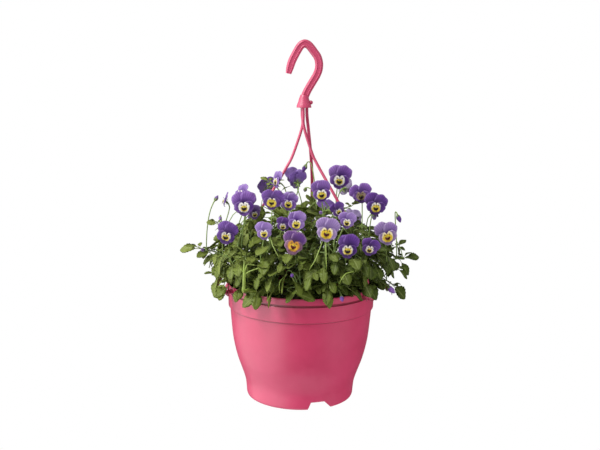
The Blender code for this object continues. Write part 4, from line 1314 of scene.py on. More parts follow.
def swept_mesh(name, paths, outline, steps, finish):
    """Smooth bars along paths of points, each with its radii and its side directions."""
    points, edges, radii, sides = [], [], [], []
    for path, path_radii, side_directions in paths:
        first = len(points)
        points.extend(path)
        radii.extend(path_radii)
        sides.extend(number for side in side_directions for number in side)
        edges.extend((first + i, first + i + 1) for i in range(len(path) - 1))
    wire = wire_object(name, points, edges)
    set_attribute(wire.data, "radius", "FLOAT", radii)
    set_attribute(wire.data, "side", "FLOAT_VECTOR", sides)
    values = {"Outline": outline, "Steps": steps, "Material": finish}
    return mesh_of(drawing_of(run_tree(wire, SWEEPING, values)), name, finish)


def path_sides(points, level):
    """The level direction made square to the path at each of its points."""
    sides = []
    for i in range(len(points)):
        ahead = (points[min(i + 1, len(points) - 1)] - points[max(i - 1, 0)]).normalized()
        sides.append((level - ahead * level.dot(ahead)).normalized())
    return sides


# Pot and compost

def tongue_blocks(azimuth):
    """The rim's tongue that a strap's clip hangs under, with its turned-down head."""
    size = (TONGUE_WIDTH, TONGUE_REACH - TONGUE_ROOT, TONGUE_HEIGHT)
    middle = TONGUE_BOTTOM + TONGUE_HEIGHT / 2
    place = radial_frame(azimuth, (TONGUE_REACH + TONGUE_ROOT) / 2, middle)
    yield block("tongue", size, place, bevel=EDGE_BEVEL)
    top = TONGUE_BOTTOM + TONGUE_HEIGHT + TONGUE_HEAD_RISE
    bottom = TONGUE_BOTTOM - TONGUE_HEAD_DROP
    size = (TONGUE_HEAD_WIDTH, TONGUE_HEAD, top - bottom)
    place = radial_frame(azimuth, TONGUE_REACH, (top + bottom) / 2)
    yield block("tongue_head", size, place, bevel=EDGE_BEVEL)


def drain(angle):
    """The round cutter of one drain hole."""
    bottom, top = FLOOR_UNDERSIDE - DRAIN_PAST, FLOOR_TOP + DRAIN_PAST
    bm = bmesh.new()
    bmesh.ops.create_cone(
        bm, cap_ends=True, segments=24, radius1=DRAIN_RADIUS, radius2=DRAIN_RADIUS, depth=top - bottom
    )
    bm.transform(Matrix.Translation((*on_circle(DRAIN_RING, angle), (top + bottom) / 2)))
    return new_object("drain", mesh_of(bm, "drain"))


def dress_pot():
    inner = FOOT_RADIUS - FOOT_WALL
    foot = ((FOOT_RADIUS, 0), (inner, 0), (inner, FLOOR_UNDERSIDE), (0, FLOOR_UNDERSIDE))
    outside = (*POT_LIP, *LIP_GROOVE, *BAND_GROOVE, *flowing(POT_BELLY, BELLY_STEPS))
    profile = eased(((0, FLOOR_TOP), *POT_INSIDE, *outside, *foot), POT_EASE)
    pot = new_object("pot_shell", turned_mesh("pot_shell", profile, PLASTIC))
    holes = []
    for azimuth in NOTCH_AZIMUTHS:
        for width, aside, height, top_share in NOTCH_CUTS:
            place = radial_frame(azimuth, FOOT_RADIUS, 0) @ Matrix.Translation((aside, 0, 0))
            holes.append(block("notch", (width, NOTCH_DEPTH, height), place, top_share))
    holes += [drain(tau * index / DRAIN_HOLES) for index in range(DRAIN_HOLES)]
    pot = carve(pot, holes)
    tongues = [made for azimuth in STRAP_AZIMUTHS.values() for made in tongue_blocks(azimuth)]
    pot = carve(pot, tongues, "UNION")
    finish_moulding(pot, "flower_pot", "pot", PLASTIC, POT_SMOOTH_ANGLE)


def grain_object(name, size):
    """A small rough grain."""
    draw = random.Random(name)
    bm = bmesh.new()
    bmesh.ops.create_icosphere(bm, subdivisions=1, radius=size / 2)
    for vert in bm.verts:
        vert.co *= draw.uniform(*GRAIN_ROUGHNESS)
        vert.co.z *= GRAIN_FLATNESS
    return new_object(f"{name}_shape", mesh_of(bm, f"{name}_shape"))


def dress_soil():
    bottom = FLOOR_TOP + CLEARANCE
    inner, edge = SOIL_RIM[0]
    top = [
        (inner * i / SOIL_RINGS, SOIL_TOP + (edge - SOIL_TOP) * (i / SOIL_RINGS) ** 4)
        for i in range(SOIL_RINGS)
    ]
    wall = [(r - SOIL_GAP, max(z, bottom)) for r, z in POT_INSIDE if z < SOIL_WALL_TOP]
    mesh = turned_mesh("compost", [*top, *SOIL_RIM, *reversed(wall), (0, bottom)], COMPOST)
    for vert in mesh.vertices:
        if vert.co.z > edge + SOIL_EDGE:
            rough = noise.fractal(vert.co * SOIL_BUMP_SCALE, 0.7, 2.2, 4)
            vert.co.z = min(vert.co.z + rough * SOIL_BUMPS - SOIL_SINK, SOIL_TOP + 0.001)
    layers = [mesh]
    for name, count, size, finish in (
        ("crumbs", CRUMBS, CRUMB_SIZE, COMPOST),
        ("perlite_grains", PERLITE, PERLITE_SIZE, WHITE_GRAIN),
    ):
        grain = grain_object(name, size)
        values = {
            "Grain": grain, "Density": count / (pi * inner**2), "Smallest": GRAIN_SIZES[0],
            "Largest": GRAIN_SIZES[1], "Seed": SEED, "Material": finish,
        }
        strewn = run_tree(new_object(name, mesh.copy()), STREWING, values)
        layers.append(use_one_material(strewn, finish))
        remove_object(grain)
    finish_piece("compost_bed", smooth_all(join_meshes("compost_bed", layers)), "soil")


# Hook and straps

def dress_hook():
    """The open hook with its hub, knob and sockets for the straps."""
    half, face = HOOK_WIDTH / 2, HOOK_DEPTH / 2
    web = half - HOOK_SLOPE
    quarter = ((face - HOOK_SLOPE, half), (face, web), (face - HOOK_HOLLOW, web - HOOK_HOLLOW_STEP))
    side = [*quarter, *((x, -y) for x, y in reversed(quarter))]
    outline = [*side, *((-x, -y) for x, y in side)]
    section = outline_object("hook_outline", outline, BAR_EASE)
    points = [Vector((x, 0, HANG_HEIGHT + z)) for x, z in HOOK_LINE]
    radii = [*HOOK_TIP_SHARES] + [1.0] * (len(points) - 3) + [HOOK_END_SHARE]
    bar = (points, radii, [Vector((0, 1, 0))] * len(points))
    hook = new_object("hook_bar", swept_mesh("hook_bar", [bar], section, HOOK_STEPS, HANGER))
    remove_object(section)
    top = HUB_BOTTOM + HUB_HEIGHT
    flare = (
        (0, HUB_BOTTOM + HUB_EDGE), (HUB_RADIUS - 0.0035, HUB_BOTTOM + HUB_EDGE),
        (HUB_RADIUS - 0.003, HUB_BOTTOM), (HUB_RADIUS, HUB_BOTTOM),
        (HUB_RADIUS - HUB_EDGE, HUB_BOTTOM + 0.004), (HUB_RADIUS - 0.0026, HUB_BOTTOM + 0.0085),
        (HUB_TOP_RADIUS + 0.001, top - 0.0045), (HUB_TOP_RADIUS - 0.0006, top),
        (HUB_TOP_RADIUS - 0.0016, top + 0.003), (0, top + 0.003),
    )
    hub = turned_mesh("hub", eased(flare, BAR_EASE), HANGER)
    hub.transform(Matrix.Translation((*HUB_CENTRE, 0)))
    bm = bmesh.new()
    bmesh.ops.create_uvsphere(bm, u_segments=20, v_segments=14, radius=KNOB_RADIUS)
    bm.transform(Matrix.Translation(KNOB_PLACE))
    knob = new_object("hook_knob", mesh_of(bm, "hook_knob"))
    hook = carve(hook, [new_object("hub", hub), knob], "UNION")
    size = (STRAP_WIDTH + SOCKET_ROOM, STRAP_WIDTH + SOCKET_ROOM, 2 * SOCKET_DEPTH)
    mouths = [Matrix.Translation((*route[0][:2], HUB_BOTTOM)) for route in STRAP_ROUTES.values()]
    hook = carve(hook, [block("socket", size, mouth) for mouth in mouths])
    finish_moulding(hook, "hanger_hook", "hook", HANGER, HANGER_SMOOTH_ANGLE)


def dress_strap(name):
    """A smooth half-round strap with a bead along it, its bevelled clip and the clip's slot."""
    azimuth = STRAP_AZIMUTHS[name]
    outward = radial_frame(azimuth, CLIP_RADIUS, 0)
    route = [Vector(place) for place in STRAP_ROUTES[name]]
    route[0].z = HUB_BOTTOM + SOCKET_DEPTH - CLEARANCE
    route.append(outward @ Vector((0, -CLIP_SETBACK, CLIP_TOP + CLIP_RISE)))
    route.append(outward @ Vector((0, 0, CLIP_TOP - CLIP_ROOT)))
    half, deep = STRAP_WIDTH / 2, STRAP_DEPTH / 2
    right = [(half * x, deep * y) for x, y in STRAP_SECTION]
    back = [(-half * STRAP_BACK_SHARE, -deep), (half * STRAP_BACK_SHARE, -deep)]
    outline = [*right, *((-x, y) for x, y in reversed(right)), *back]
    section = outline_object(f"{name}_outline", outline, STRAP_EASE)
    angle = radians(azimuth)
    level = Vector((-sin(angle), cos(angle), 0))
    bar = (route, [1.0] * len(route), path_sides(route, level))
    strap = new_object(name, swept_mesh(name, [bar], section, STRAP_STEPS, HANGER))
    remove_object(section)
    size = (CLIP_WIDTH, CLIP_THICKNESS, CLIP_TOP - CLIP_BOTTOM)
    place = radial_frame(azimuth, CLIP_RADIUS, (CLIP_TOP + CLIP_BOTTOM) / 2)
    strap = carve(strap, [block("clip", size, place, CLIP_TOP_SHARE, EDGE_BEVEL)], "UNION")
    size = (TONGUE_WIDTH + 2 * CLEARANCE, SLOT_DEPTH, SLOT_HEIGHT)
    place = radial_frame(azimuth, CLIP_RADIUS, CLIP_BOTTOM + CLIP_BAR + SLOT_HEIGHT / 2)
    strap = carve(strap, [block("slot", size, place)])
    finish_moulding(strap, f"hanger_{name}", name, HANGER, HANGER_SMOOTH_ANGLE)


# How a plant grows, by the same rules as in the model's source

class Plant:
    """One rooted viola: its stems and leaves, and the search trees that others keep clear of."""

    def __init__(self, name):
        self.name = name
        azimuth, radius = CROWNS[name]
        self.foot = Vector((*on_circle(radius, radians(azimuth)), CROWN_TOP - CROWN_SINK))
        self.shoots = []
        self.stems = []
        self.young_stems = []
        self.petioles = []
        self.leaves = []
        self.trees = []

    def add_leaf(self, matrix, length, age=None):
        """A leaf on its frame, whose tint goes by its place where no age is given: paler higher up, and
        lighter to the left as painted light.
        """
        self.leaves.append((matrix, length, age))


class Bed:
    """All the plants, the solids that they keep clear of, and the sight lines kept open."""

    def __init__(self):
        self.plants = [Plant(name) for name in CROWNS]
        self.fixed = [node_tree(name) for name in ("pot", "soil", "hook", *STRAP_AZIMUTHS)]
        flowers = [f"bloom_{index + 1:02d}" for index in range(len(BLOOMS))]
        flowers += [f"bud_{index + 1:02d}" for index in range(len(BUDS))]
        self.firm = self.fixed + [node_tree(name) for name in flowers]
        self.viewer = Vector(CAMERA_PLACE) + LIFT
        self.lines = [self.bloom_line(*values) for values in BLOOMS]

    def bloom_line(self, place, width, azimuth, pitch, roll, _):
        """A bloom's middle, the way it is seen from, and how wide it must stay open."""
        matrix = facing_frame(place, azimuth, pitch, roll)
        middle = matrix @ Vector((0, 0.14 * width, 0))
        forward = matrix.to_3x3() @ Vector((0, 0, 1))
        seen = (self.viewer - middle).normalized()
        return middle, seen if forward.dot(seen) > 0.5 else forward, width * SIGHT_SHARE

    def keep_open(self, spots, clear):
        self.lines += [(spot, (self.viewer - spot).normalized(), clear) for spot in spots]

    def plant(self, name):
        return next(plant for plant in self.plants if plant.name == name)

    def trees(self, apart_from=None):
        return [tree for plant in self.plants if plant is not apart_from for tree in plant.trees]

    def others(self, plant):
        return self.firm + self.trees(plant)


def node_tree(name):
    """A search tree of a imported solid, raised to where the plants are laid out."""
    mesh = frame["nodes"][name].data
    points = [vert.co + LIFT for vert in mesh.vertices]
    return BVHTree.FromPolygons(points, [tuple(face.vertices) for face in mesh.polygons])


def tree_of(bm):
    tree = BVHTree.FromBMesh(bm)
    bm.free()
    return tree


def touches(tree, others):
    return any(tree.overlap(other) for other in others)


def tube_probe(points, radius):
    """A thick triangular tube that stands for a stem when its way is tested."""
    bm = bmesh.new()
    outline = [on_circle(radius, tau * k / STEM_SIDES) for k in range(STEM_SIDES)]
    rings = []
    for i, point in enumerate(points):
        ahead = points[min(i + 1, len(points) - 1)] - points[max(i - 1, 0)]
        turn = ahead.to_track_quat("Z", "Y")
        rings.append([bm.verts.new(point + turn @ Vector((x, y, 0))) for x, y in outline])
    for corners in ring_faces(rings):
        bm.faces.new(corners)
    return tree_of(bm)


def leaf_probe(matrix, length, thickness, start):
    """The plain leaf of the model, which tells whether a leaf has room."""
    bm = bmesh.new()
    side = [(x, y, LEAF_WAVE * (-1) ** i) for i, (x, y) in enumerate(LEAF_SIDE)]
    outline = [(start, 0, 0), *side, (1, 0, 0), *((x, -y, wave) for x, y, wave in reversed(side))]
    verts = []
    for x, y, wave in outline:
        z = (LEAF_FOLD + wave) * abs(y) - LEAF_DROOP * x * x
        verts.append(bm.verts.new(Vector((x, y, z)) * length))
    centre = bm.verts.new(Vector((LEAF_MIDDLE, 0, -LEAF_DROOP * LEAF_MIDDLE**2)) * length)
    count = len(verts)
    for i in range(count):
        bm.faces.new((centre, verts[(i + 1) % count], verts[i]))
    grown = bmesh.ops.extrude_face_region(bm, geom=bm.faces[:], use_keep_orig=True)["geom"]
    for vert in grown:
        if isinstance(vert, bmesh.types.BMVert):
            vert.co.z -= thickness
    bmesh.ops.translate(bm, verts=bm.verts, vec=(0, 0, thickness / 2))
    bm.transform(matrix)
    return tree_of(bm)


def leaf_frame(place, direction, lean):
    """X along the leaf, Z on its upper side, leaning to its own left."""
    direction = direction.normalized()
    up = Vector((0, 0, 1)) - direction * direction.z
    if up.length < 0.15:
        up = Vector((-place.x, -place.y, 0))
        up -= direction * up.dot(direction)
    up.normalize()
    turned = axes_frame(direction, up.cross(direction), up, place)
    return turned @ Matrix.Rotation(lean, 4, "X")


def path_place(path, share):
    spot = share * (len(path) - 1)
    low = min(int(spot), len(path) - 2)
    return path[low].lerp(path[low + 1], spot - low)


def shoot_path(foot, end, bend):
    height = max(0.045, (end.z - foot.z) * 0.75)
    outward = Vector((end.x - foot.x, end.y - foot.y, 0))
    side = Vector((-outward.y, outward.x, 0))
    first = foot + Vector((0, 0, height)) + outward * 0.12 + side * bend
    second = end - outward * 0.3 + Vector((0, 0, max(0.0, 0.235 - end.z) * 0.8 - 0.004)) + side * bend
    return bezier(foot, first, second, end, SHOOT_STEPS)


def grow_shoot(plant, end, blocked):
    """A shoot from the crown to its end, bent aside where something is in its way."""
    for bend in SHOOT_BENDS:
        path = shoot_path(plant.foot, Vector(end), bend)
        probe = tube_probe(path[1:], SHOOT_RADIUS * SHOOT_PROBE)
        if not touches(probe, blocked):
            break
    plant.trees.append(probe)
    plant.shoots.append(path)
    radii = [SHOOT_RADIUS * (1 - SHOOT_TAPER * i / SHOOT_STEPS) for i in range(SHOOT_STEPS + 1)]
    plant.stems.append((path, radii))


def grow_leaf(plant, place, direction, length, lean, blocked, thickness=LEAF_PROBE_THICKNESS, tilt=0.0):
    matrix = leaf_frame(place, direction, lean)
    probe = leaf_probe(matrix, length, thickness, LEAF_PROBE_START)
    if touches(probe, blocked) or touches(probe, plant.trees):
        return False
    plant.trees.append(probe)
    plant.add_leaf(matrix @ Matrix.Rotation(tilt, 4, "X"), length)
    return True


def dress_shoot(plant, path, leaf_length, pitch, side_leaves, blocked, draw):
    """The end leaf and the side leaves of a shoot, the latter by the golden angle."""
    ahead = path[-1] - path[-2]
    outward = Vector((ahead.x, ahead.y, 0)).normalized()
    rise = radians(pitch)
    direction = outward * cos(rise) + Vector((0, 0, sin(rise)))
    root = path[-1] - ahead.normalized() * 0.0012
    swing = END_SWING * sin(37 * path[-1].x + 5) if pitch < -40 else 0.0
    for share in (1.0, 0.5, 0.0):
        hanging = Matrix.Rotation(swing * share, 3, outward) @ direction
        if grow_leaf(plant, root, hanging, leaf_length * 1.15, 0, blocked, tilt=0.8 * direction.x):
            break
    start = draw.uniform(0, 360)
    for index in range(side_leaves):
        place = path_place(path, 0.5 + 0.42 * (index + 0.5) / side_leaves)
        length = leaf_length * draw.uniform(0.75, 1.05) + 0.006
        for attempt in range(LEAF_TRIES):
            angle = radians(start + GOLDEN_ANGLE * index + 40 * attempt)
            rise = radians(draw.uniform(-5, 40))
            if grow_leaf(plant, place, heading(angle, rise), length, draw.uniform(-0.4, 0.4), blocked):
                break
            length *= 0.96


def stalk_starts(plants, back):
    """Where a flower stalk to this place may start, with its plant, the best first."""
    choices = []
    for plant in plants:
        for path in plant.shoots:
            for index in range(1, len(path) - 1):
                start = path[index].lerp(path[index + 1], 0.5)
                drop = back.z - start.z
                if drop < 0.018 and start.z > STALK_LOWEST:
                    continue
                level = hypot(back.x - start.x, back.y - start.y)
                cost = level + abs(drop - STALK_USUAL_DROP) * 0.6
                choices.append((cost, len(choices), plant, start))
    choices.sort(key=lambda choice: choice[:2])
    return [(plant, start) for _, _, plant, start in choices[:STALK_TRIES]]


def grow_stalk(bed, matrix, radius):
    """A flower stalk from the best free shoot, which ends from behind in the flower's calyx."""
    forward = matrix.to_3x3() @ Vector((0, 0, 1))
    back = matrix.translation - forward * CALYX_DEPTH
    blocked_by = {plant.name: bed.others(plant) for plant in bed.plants}
    for plant, start in stalk_starts(bed.plants, back):
        span = (back - start).length
        for bend in STALK_BENDS:
            side = Vector((-forward.y, forward.x, 0)) * bend * span * 0.5
            first = start + Vector((0, 0, span * 0.5)) + side
            second = back - forward * min(0.016, span * 0.4) + side * 0.3
            path = bezier(start, first, second, back, STALK_STEPS)
            probe = tube_probe(path, STALK_RADIUS * STALK_PROBE)
            if not touches(probe, blocked_by[plant.name]):
                radii = [STALK_RADIUS] * STALK_STEPS + [radius * 0.8, radius]
                plant.trees.append(probe)
                plant.stems.append(([*path, matrix.translation.copy()], radii))
                return


def within_box(matrix, length):
    """Whether a leaf's tip and sides stay inside the model's box."""
    low, high = CAD_BOX
    for spot in ((1, 0, -LEAF_DROOP), (0.6, 0.33, 0), (0.6, -0.33, 0)):
        place = matrix @ (Vector(spot) * length) - LIFT
        if any(place[k] < low[k] or place[k] > high[k] for k in range(3)):
            return False
    return True


def hides_bloom(matrix, length, lines):
    """Whether a leaf would stand in front of an open face or a stem that shows."""
    for along, aside in ((0.4, 0), (0.7, 0.25), (0.7, -0.25), (1.0, 0)):
        spot = matrix @ (Vector((along, aside, -LEAF_DROOP * along**2)) * length)
        for middle, way, radius in lines:
            depth = (spot - middle).dot(way)
            if 0 < depth < SIGHT_REACH and (spot - middle - way * depth).length < radius:
                return True
    return False


def fill_shoot(plant, path, leaf_length, blocked, lines, draw):
    """More leaves along a shoot, set by the golden angle in the room that is left."""
    start = draw.uniform(0, 360)
    for index in range(FILL_LEAVES):
        place = path_place(path, 0.22 + 0.76 * (index + 0.5) / FILL_LEAVES)
        length = leaf_length * draw.uniform(0.7, 1.1) + 0.004
        outer = min(1.0, max(0.0, (hypot(place.x, place.y) - 0.06) / 0.05))
        for attempt in range(FILL_TRIES):
            angle = radians(start + GOLDEN_ANGLE * index + 47 * attempt)
            direction = heading(angle, radians(draw.uniform(-25, 55) - OUTER_HANG * outer))
            lean = draw.uniform(-0.5, 0.5)
            matrix = leaf_frame(place, direction, lean)
            if within_box(matrix, length) and not hides_bloom(matrix, length, lines):
                if grow_leaf(plant, place, direction, length, lean, blocked, FILL_PROBE):
                    break
            length *= 0.92


def dome_place(azimuth, out, up):
    """A place in the rounded mass of leaves, which draws in at the rim: out and up from 0 to 1."""
    top = DOME_TOP - DOME_FALL * out**2
    radius = 0.02 + out * (DOME_WAIST + (DOME_REACH - DOME_WAIST) * min(1.0, up * 1.6))
    return Vector((*on_circle(radius, azimuth), DOME_FOOT + (top - DOME_FOOT) * up))


def below_skirt(matrix, length):
    """Whether a leaf's tip hangs lower than the mass does there."""
    tip = matrix @ (Vector((1, 0, -LEAF_DROOP)) * length)
    level = hypot(tip.x, tip.y)
    return tip.z < DOME_LOWEST + max(0.0, level - DOME_SKIRT)


def nearest_shoot(plants, place):
    """The plant and the point of its shoots that a stalk to this place best starts from."""
    best = None
    for plant in plants:
        for path in plant.shoots:
            for point in path[1:]:
                cost = (place - point).length + (0.02 if point.z > place.z else 0)
                if best is None or cost < best[0]:
                    best = (cost, plant, point)
    return best[1:]


def grow_petiole(plant, start, place, direction, hard):
    """A leaf's stalk from a shoot, unless something firm is in its way."""
    span = (place - start).length
    path = bezier(start, start + Vector((0, 0, span * 0.35)), place - direction * span * 0.3, place, 3)
    if touches(tube_probe(path, PETIOLE_PROBE), hard):
        return False
    plant.petioles.append(path)
    return True


def stop_of_leaf(bed, trees, matrix, direction, length, shoot=None, share=0.86, start=0.34):
    """What keeps a stalked leaf from its place: room, leaves or stalk. If nothing does, it grows."""
    probe = leaf_probe(matrix, length * share, PROBE_THICKNESS, start)
    if not within_box(matrix, length) or hides_bloom(matrix, length, bed.lines):
        return "room"
    if touches(probe, bed.firm):
        return "room"
    if touches(probe, trees):
        return "leaves"
    place = matrix.translation
    plant, root = shoot or nearest_shoot(bed.plants, place)
    if not grow_petiole(plant, root, place, direction, bed.firm):
        return "stalk"
    trees.append(probe)
    plant.trees.append(probe)
    plant.add_leaf(matrix, length)
    return None


def add_tuft(plant, place, length, count, hard, draw):
    """A star of small leaves round a shoot's tip or joint."""
    start = draw.uniform(0, 360)
    for index in range(count):
        angle = radians(start + 360 * index / count + draw.uniform(-18, 18))
        direction = heading(angle, radians(draw.uniform(-5, 55)))
        size = length * draw.uniform(0.75, 1.15)
        matrix = leaf_frame(place, direction, draw.uniform(-0.5, 0.5))
        if within_box(matrix, size) and not touches(leaf_probe(matrix, size, 0.0005, 0.3), hard):
            plant.add_leaf(matrix, size)


def set_front_leaves(bed):
    """The broad leaves that stand out at the front and hang over the rim."""
    for name, root, tip, lean, age in FRONT_LEAVES:
        plant = bed.plant(name)
        root, tip = Vector(root), Vector(tip)
        length = (tip - root).length / LEAF_CHORD
        matrix = leaf_frame(root, tip + Vector((0, 0, LEAF_DROOP * length * 0.8)) - root, lean)
        probe = leaf_probe(matrix, length * 0.9, PROBE_THICKNESS, 0.34)
        if touches(probe, bed.firm):
            continue
        plant.trees.append(probe)
        plant.add_leaf(matrix, length, age)
        _, start = nearest_shoot([plant], root)
        grow_petiole(plant, start, root, (tip - root).normalized(), bed.fixed)


def add_young_stem(bed, plant, path, radii, probed, shown, clear):
    """A pale stem with the sight to it kept open, unless something firm is in its way."""
    probe = tube_probe(probed, radii[0])
    if touches(probe, bed.firm):
        return False
    plant.trees.append(probe)
    plant.young_stems.append((path, radii))
    bed.keep_open(shown, clear)
    return True


def raise_stem(bed):
    """The stout upright stem with its tufts that stands in front of the mass."""
    plant = bed.plant(STOUT_STEM_PLANT)
    shown = [Vector(place) for place, _ in STOUT_STEM]
    hidden = bezier(plant.foot, *[Vector(place) for place in STOUT_STEM_BENDS], shown[0], 4)
    path = [*hidden[:-1], *shown]
    radii = [STOUT_STEM[0][1]] * (len(hidden) - 1) + [radius for _, radius in STOUT_STEM]
    if not add_young_stem(bed, plant, path, radii, path[2:], shown[1:7], STEM_CLEAR):
        return
    draw = seeded("stout stem")
    add_tuft(plant, shown[5], STOUT_TUFT, 5, bed.firm, draw)
    for places in STOUT_ARMS:
        arm = [Vector(place) for place in places]
        plant.trees.append(tube_probe(arm[1:], ARM_RADIUS))
        plant.young_stems.append((arm, [ARM_RADIUS] * len(arm)))
        plant.add_leaf(leaf_frame(arm[-1], arm[-1] - arm[-2], 0.3), ARM_LEAF, 1.0)


def raise_stalks(bed):
    """The pale stalks that show in front of the mass of leaves."""
    for name, places in FRONT_STALKS:
        path = [Vector(place) for place in places]
        radii = [FRONT_STALK_RADIUS] * len(path)
        add_young_stem(bed, bed.plant(name), path, radii, path, path[1:-1], FRONT_STALK_CLEAR)


def fill_rim(bed):
    """Short-stalked leaves just over the rim all round, which hide the compost's edge."""
    draw = seeded("rim")
    trees = bed.trees()
    for index in range(RIM_LEAVES):
        azimuth = tau * index / RIM_LEAVES + draw.uniform(-0.03, 0.03)
        length = draw.uniform(*RIM_LENGTHS)
        for attempt in range(DOME_TRIES):
            radius, height = draw.uniform(*RIM_RADII), draw.uniform(*RIM_HEIGHTS)
            place = Vector((*on_circle(radius, azimuth), height))
            direction = heading(azimuth + draw.uniform(-0.9, 0.9), radians(draw.uniform(-12, 45)))
            matrix = leaf_frame(place, direction, draw.uniform(-0.5, 0.5))
            stop = stop_of_leaf(bed, trees, matrix, direction, length, share=0.9, start=0.3)
            if stop is None:
                break
            if stop != "stalk":
                length *= 0.96


def route_place(route, height):
    """Where a strap's route passes this height."""
    above, under = next(pair for pair in zip(route, route[1:]) if pair[1].z <= height)
    return above.lerp(under, (above.z - height) / (above.z - under.z))


def cover_straps(bed):
    """Leaves that grow up and over the foot of each strap, on the side that it is seen from."""
    draw = seeded("covers")
    trees = bed.trees()
    for name, low, high, azimuth, rise in COVERS:
        route = [Vector(place) for place in STRAP_ROUTES[name]]
        route.append(radial_frame(STRAP_AZIMUTHS[name], CLIP_RADIUS, CLIP_TOP).translation)
        for step in range(int((high - low) / COVER_STEP)):
            spot = route_place(route, low + COVER_STEP * step)
            way = (bed.viewer - spot).normalized()
            for attempt in range(COVER_TRIES):
                aim = spot + way * draw.uniform(0.005, 0.034)
                aim.x += draw.uniform(-0.006, 0.006)
                turn = radians(azimuth + draw.uniform(-55, 55))
                direction = heading(turn, radians(rise + draw.uniform(-25, 25)))
                length = draw.uniform(*COVER_LENGTHS) * (1 - 0.02 * attempt)
                place = aim - direction * length * 0.62
                matrix = leaf_frame(place, direction, draw.uniform(-0.4, 0.4))
                if stop_of_leaf(bed, trees, matrix, direction, length) is None:
                    break


def fill_dome(bed):
    """Stalked leaves that fill the mass, each from the nearest shoot, close but not crossing."""
    draw = seeded("dome")
    trees = bed.trees()
    for index in range(DOME_LEAVES):
        azimuth = radians(GOLDEN_ANGLE * index)
        out = sqrt((index + 0.5) / DOME_LEAVES)
        place = dome_place(azimuth, out, draw.uniform(0.0, 1.0) ** 0.8)
        length = draw.uniform(*DOME_LENGTHS)
        shoot = nearest_shoot(bed.plants, place)
        for attempt in range(DOME_TRIES):
            aside = azimuth + draw.uniform(-0.9, 0.9)
            direction = heading(aside, radians(70 - 130 * out + draw.uniform(-25, 25)))
            matrix = leaf_frame(place, direction, draw.uniform(-0.5, 0.5))
            stop = "room"
            if not below_skirt(matrix, length):
                stop = stop_of_leaf(bed, trees, matrix, direction, length, shoot)
            if stop is None:
                break
            if stop == "leaves":
                length *= 0.93
            if stop != "stalk":
                shift = DOME_SHIFTS[stop]
                place = place + Vector([draw.uniform(-1, 1) for axis in range(3)]) * shift


def grow_plants():
    """Every plant as in the model, and then the leaves that fill it out."""
    bed = Bed()
    for plant in bed.plants:
        for end, *_ in SHOOTS[plant.name]:
            grow_shoot(plant, end, bed.others(plant))
    behind = Matrix.Translation((0, 0, -PETAL_THICKNESS / 2 - CLEARANCE))
    for place, _, azimuth, pitch, roll, _ in BLOOMS:
        grow_stalk(bed, facing_frame(place, azimuth, pitch, roll) @ behind, CALYX_RADIUS)
    behind = Matrix.Translation((0, 0, -CLEARANCE))
    for place, _, azimuth, pitch, _ in BUDS:
        grow_stalk(bed, facing_frame(place, azimuth, pitch) @ behind, CALYX_RADIUS * BUD_CALYX_SHARE)
    for plant in bed.plants:
        for path, (end, length, pitch, side_leaves) in zip(plant.shoots, SHOOTS[plant.name]):
            draw = seeded(f"{end}")
            dress_shoot(plant, path, length, pitch, side_leaves, bed.others(plant), draw)
    raise_stem(bed)
    raise_stalks(bed)
    set_front_leaves(bed)
    cover_straps(bed)
    fill_rim(bed)
    for plant in bed.plants:
        blocked = bed.others(plant)
        for path, (end, length, *_) in zip(plant.shoots, SHOOTS[plant.name]):
            fill_shoot(plant, path, length, blocked, bed.lines, seeded(f"more {end}"))
    fill_dome(bed)
    for plant in bed.plants:
        for path, (end, length, *_) in zip(plant.shoots, SHOOTS[plant.name]):
            draw = seeded(f"tuft {end}")
            add_tuft(plant, path[-1], 0.45 * length + 0.006, 4, bed.firm, draw)
            add_tuft(plant, path_place(path, 0.8), 0.35 * length + 0.005, 3, bed.firm, draw)
    return bed.plants


# Leaves and stems

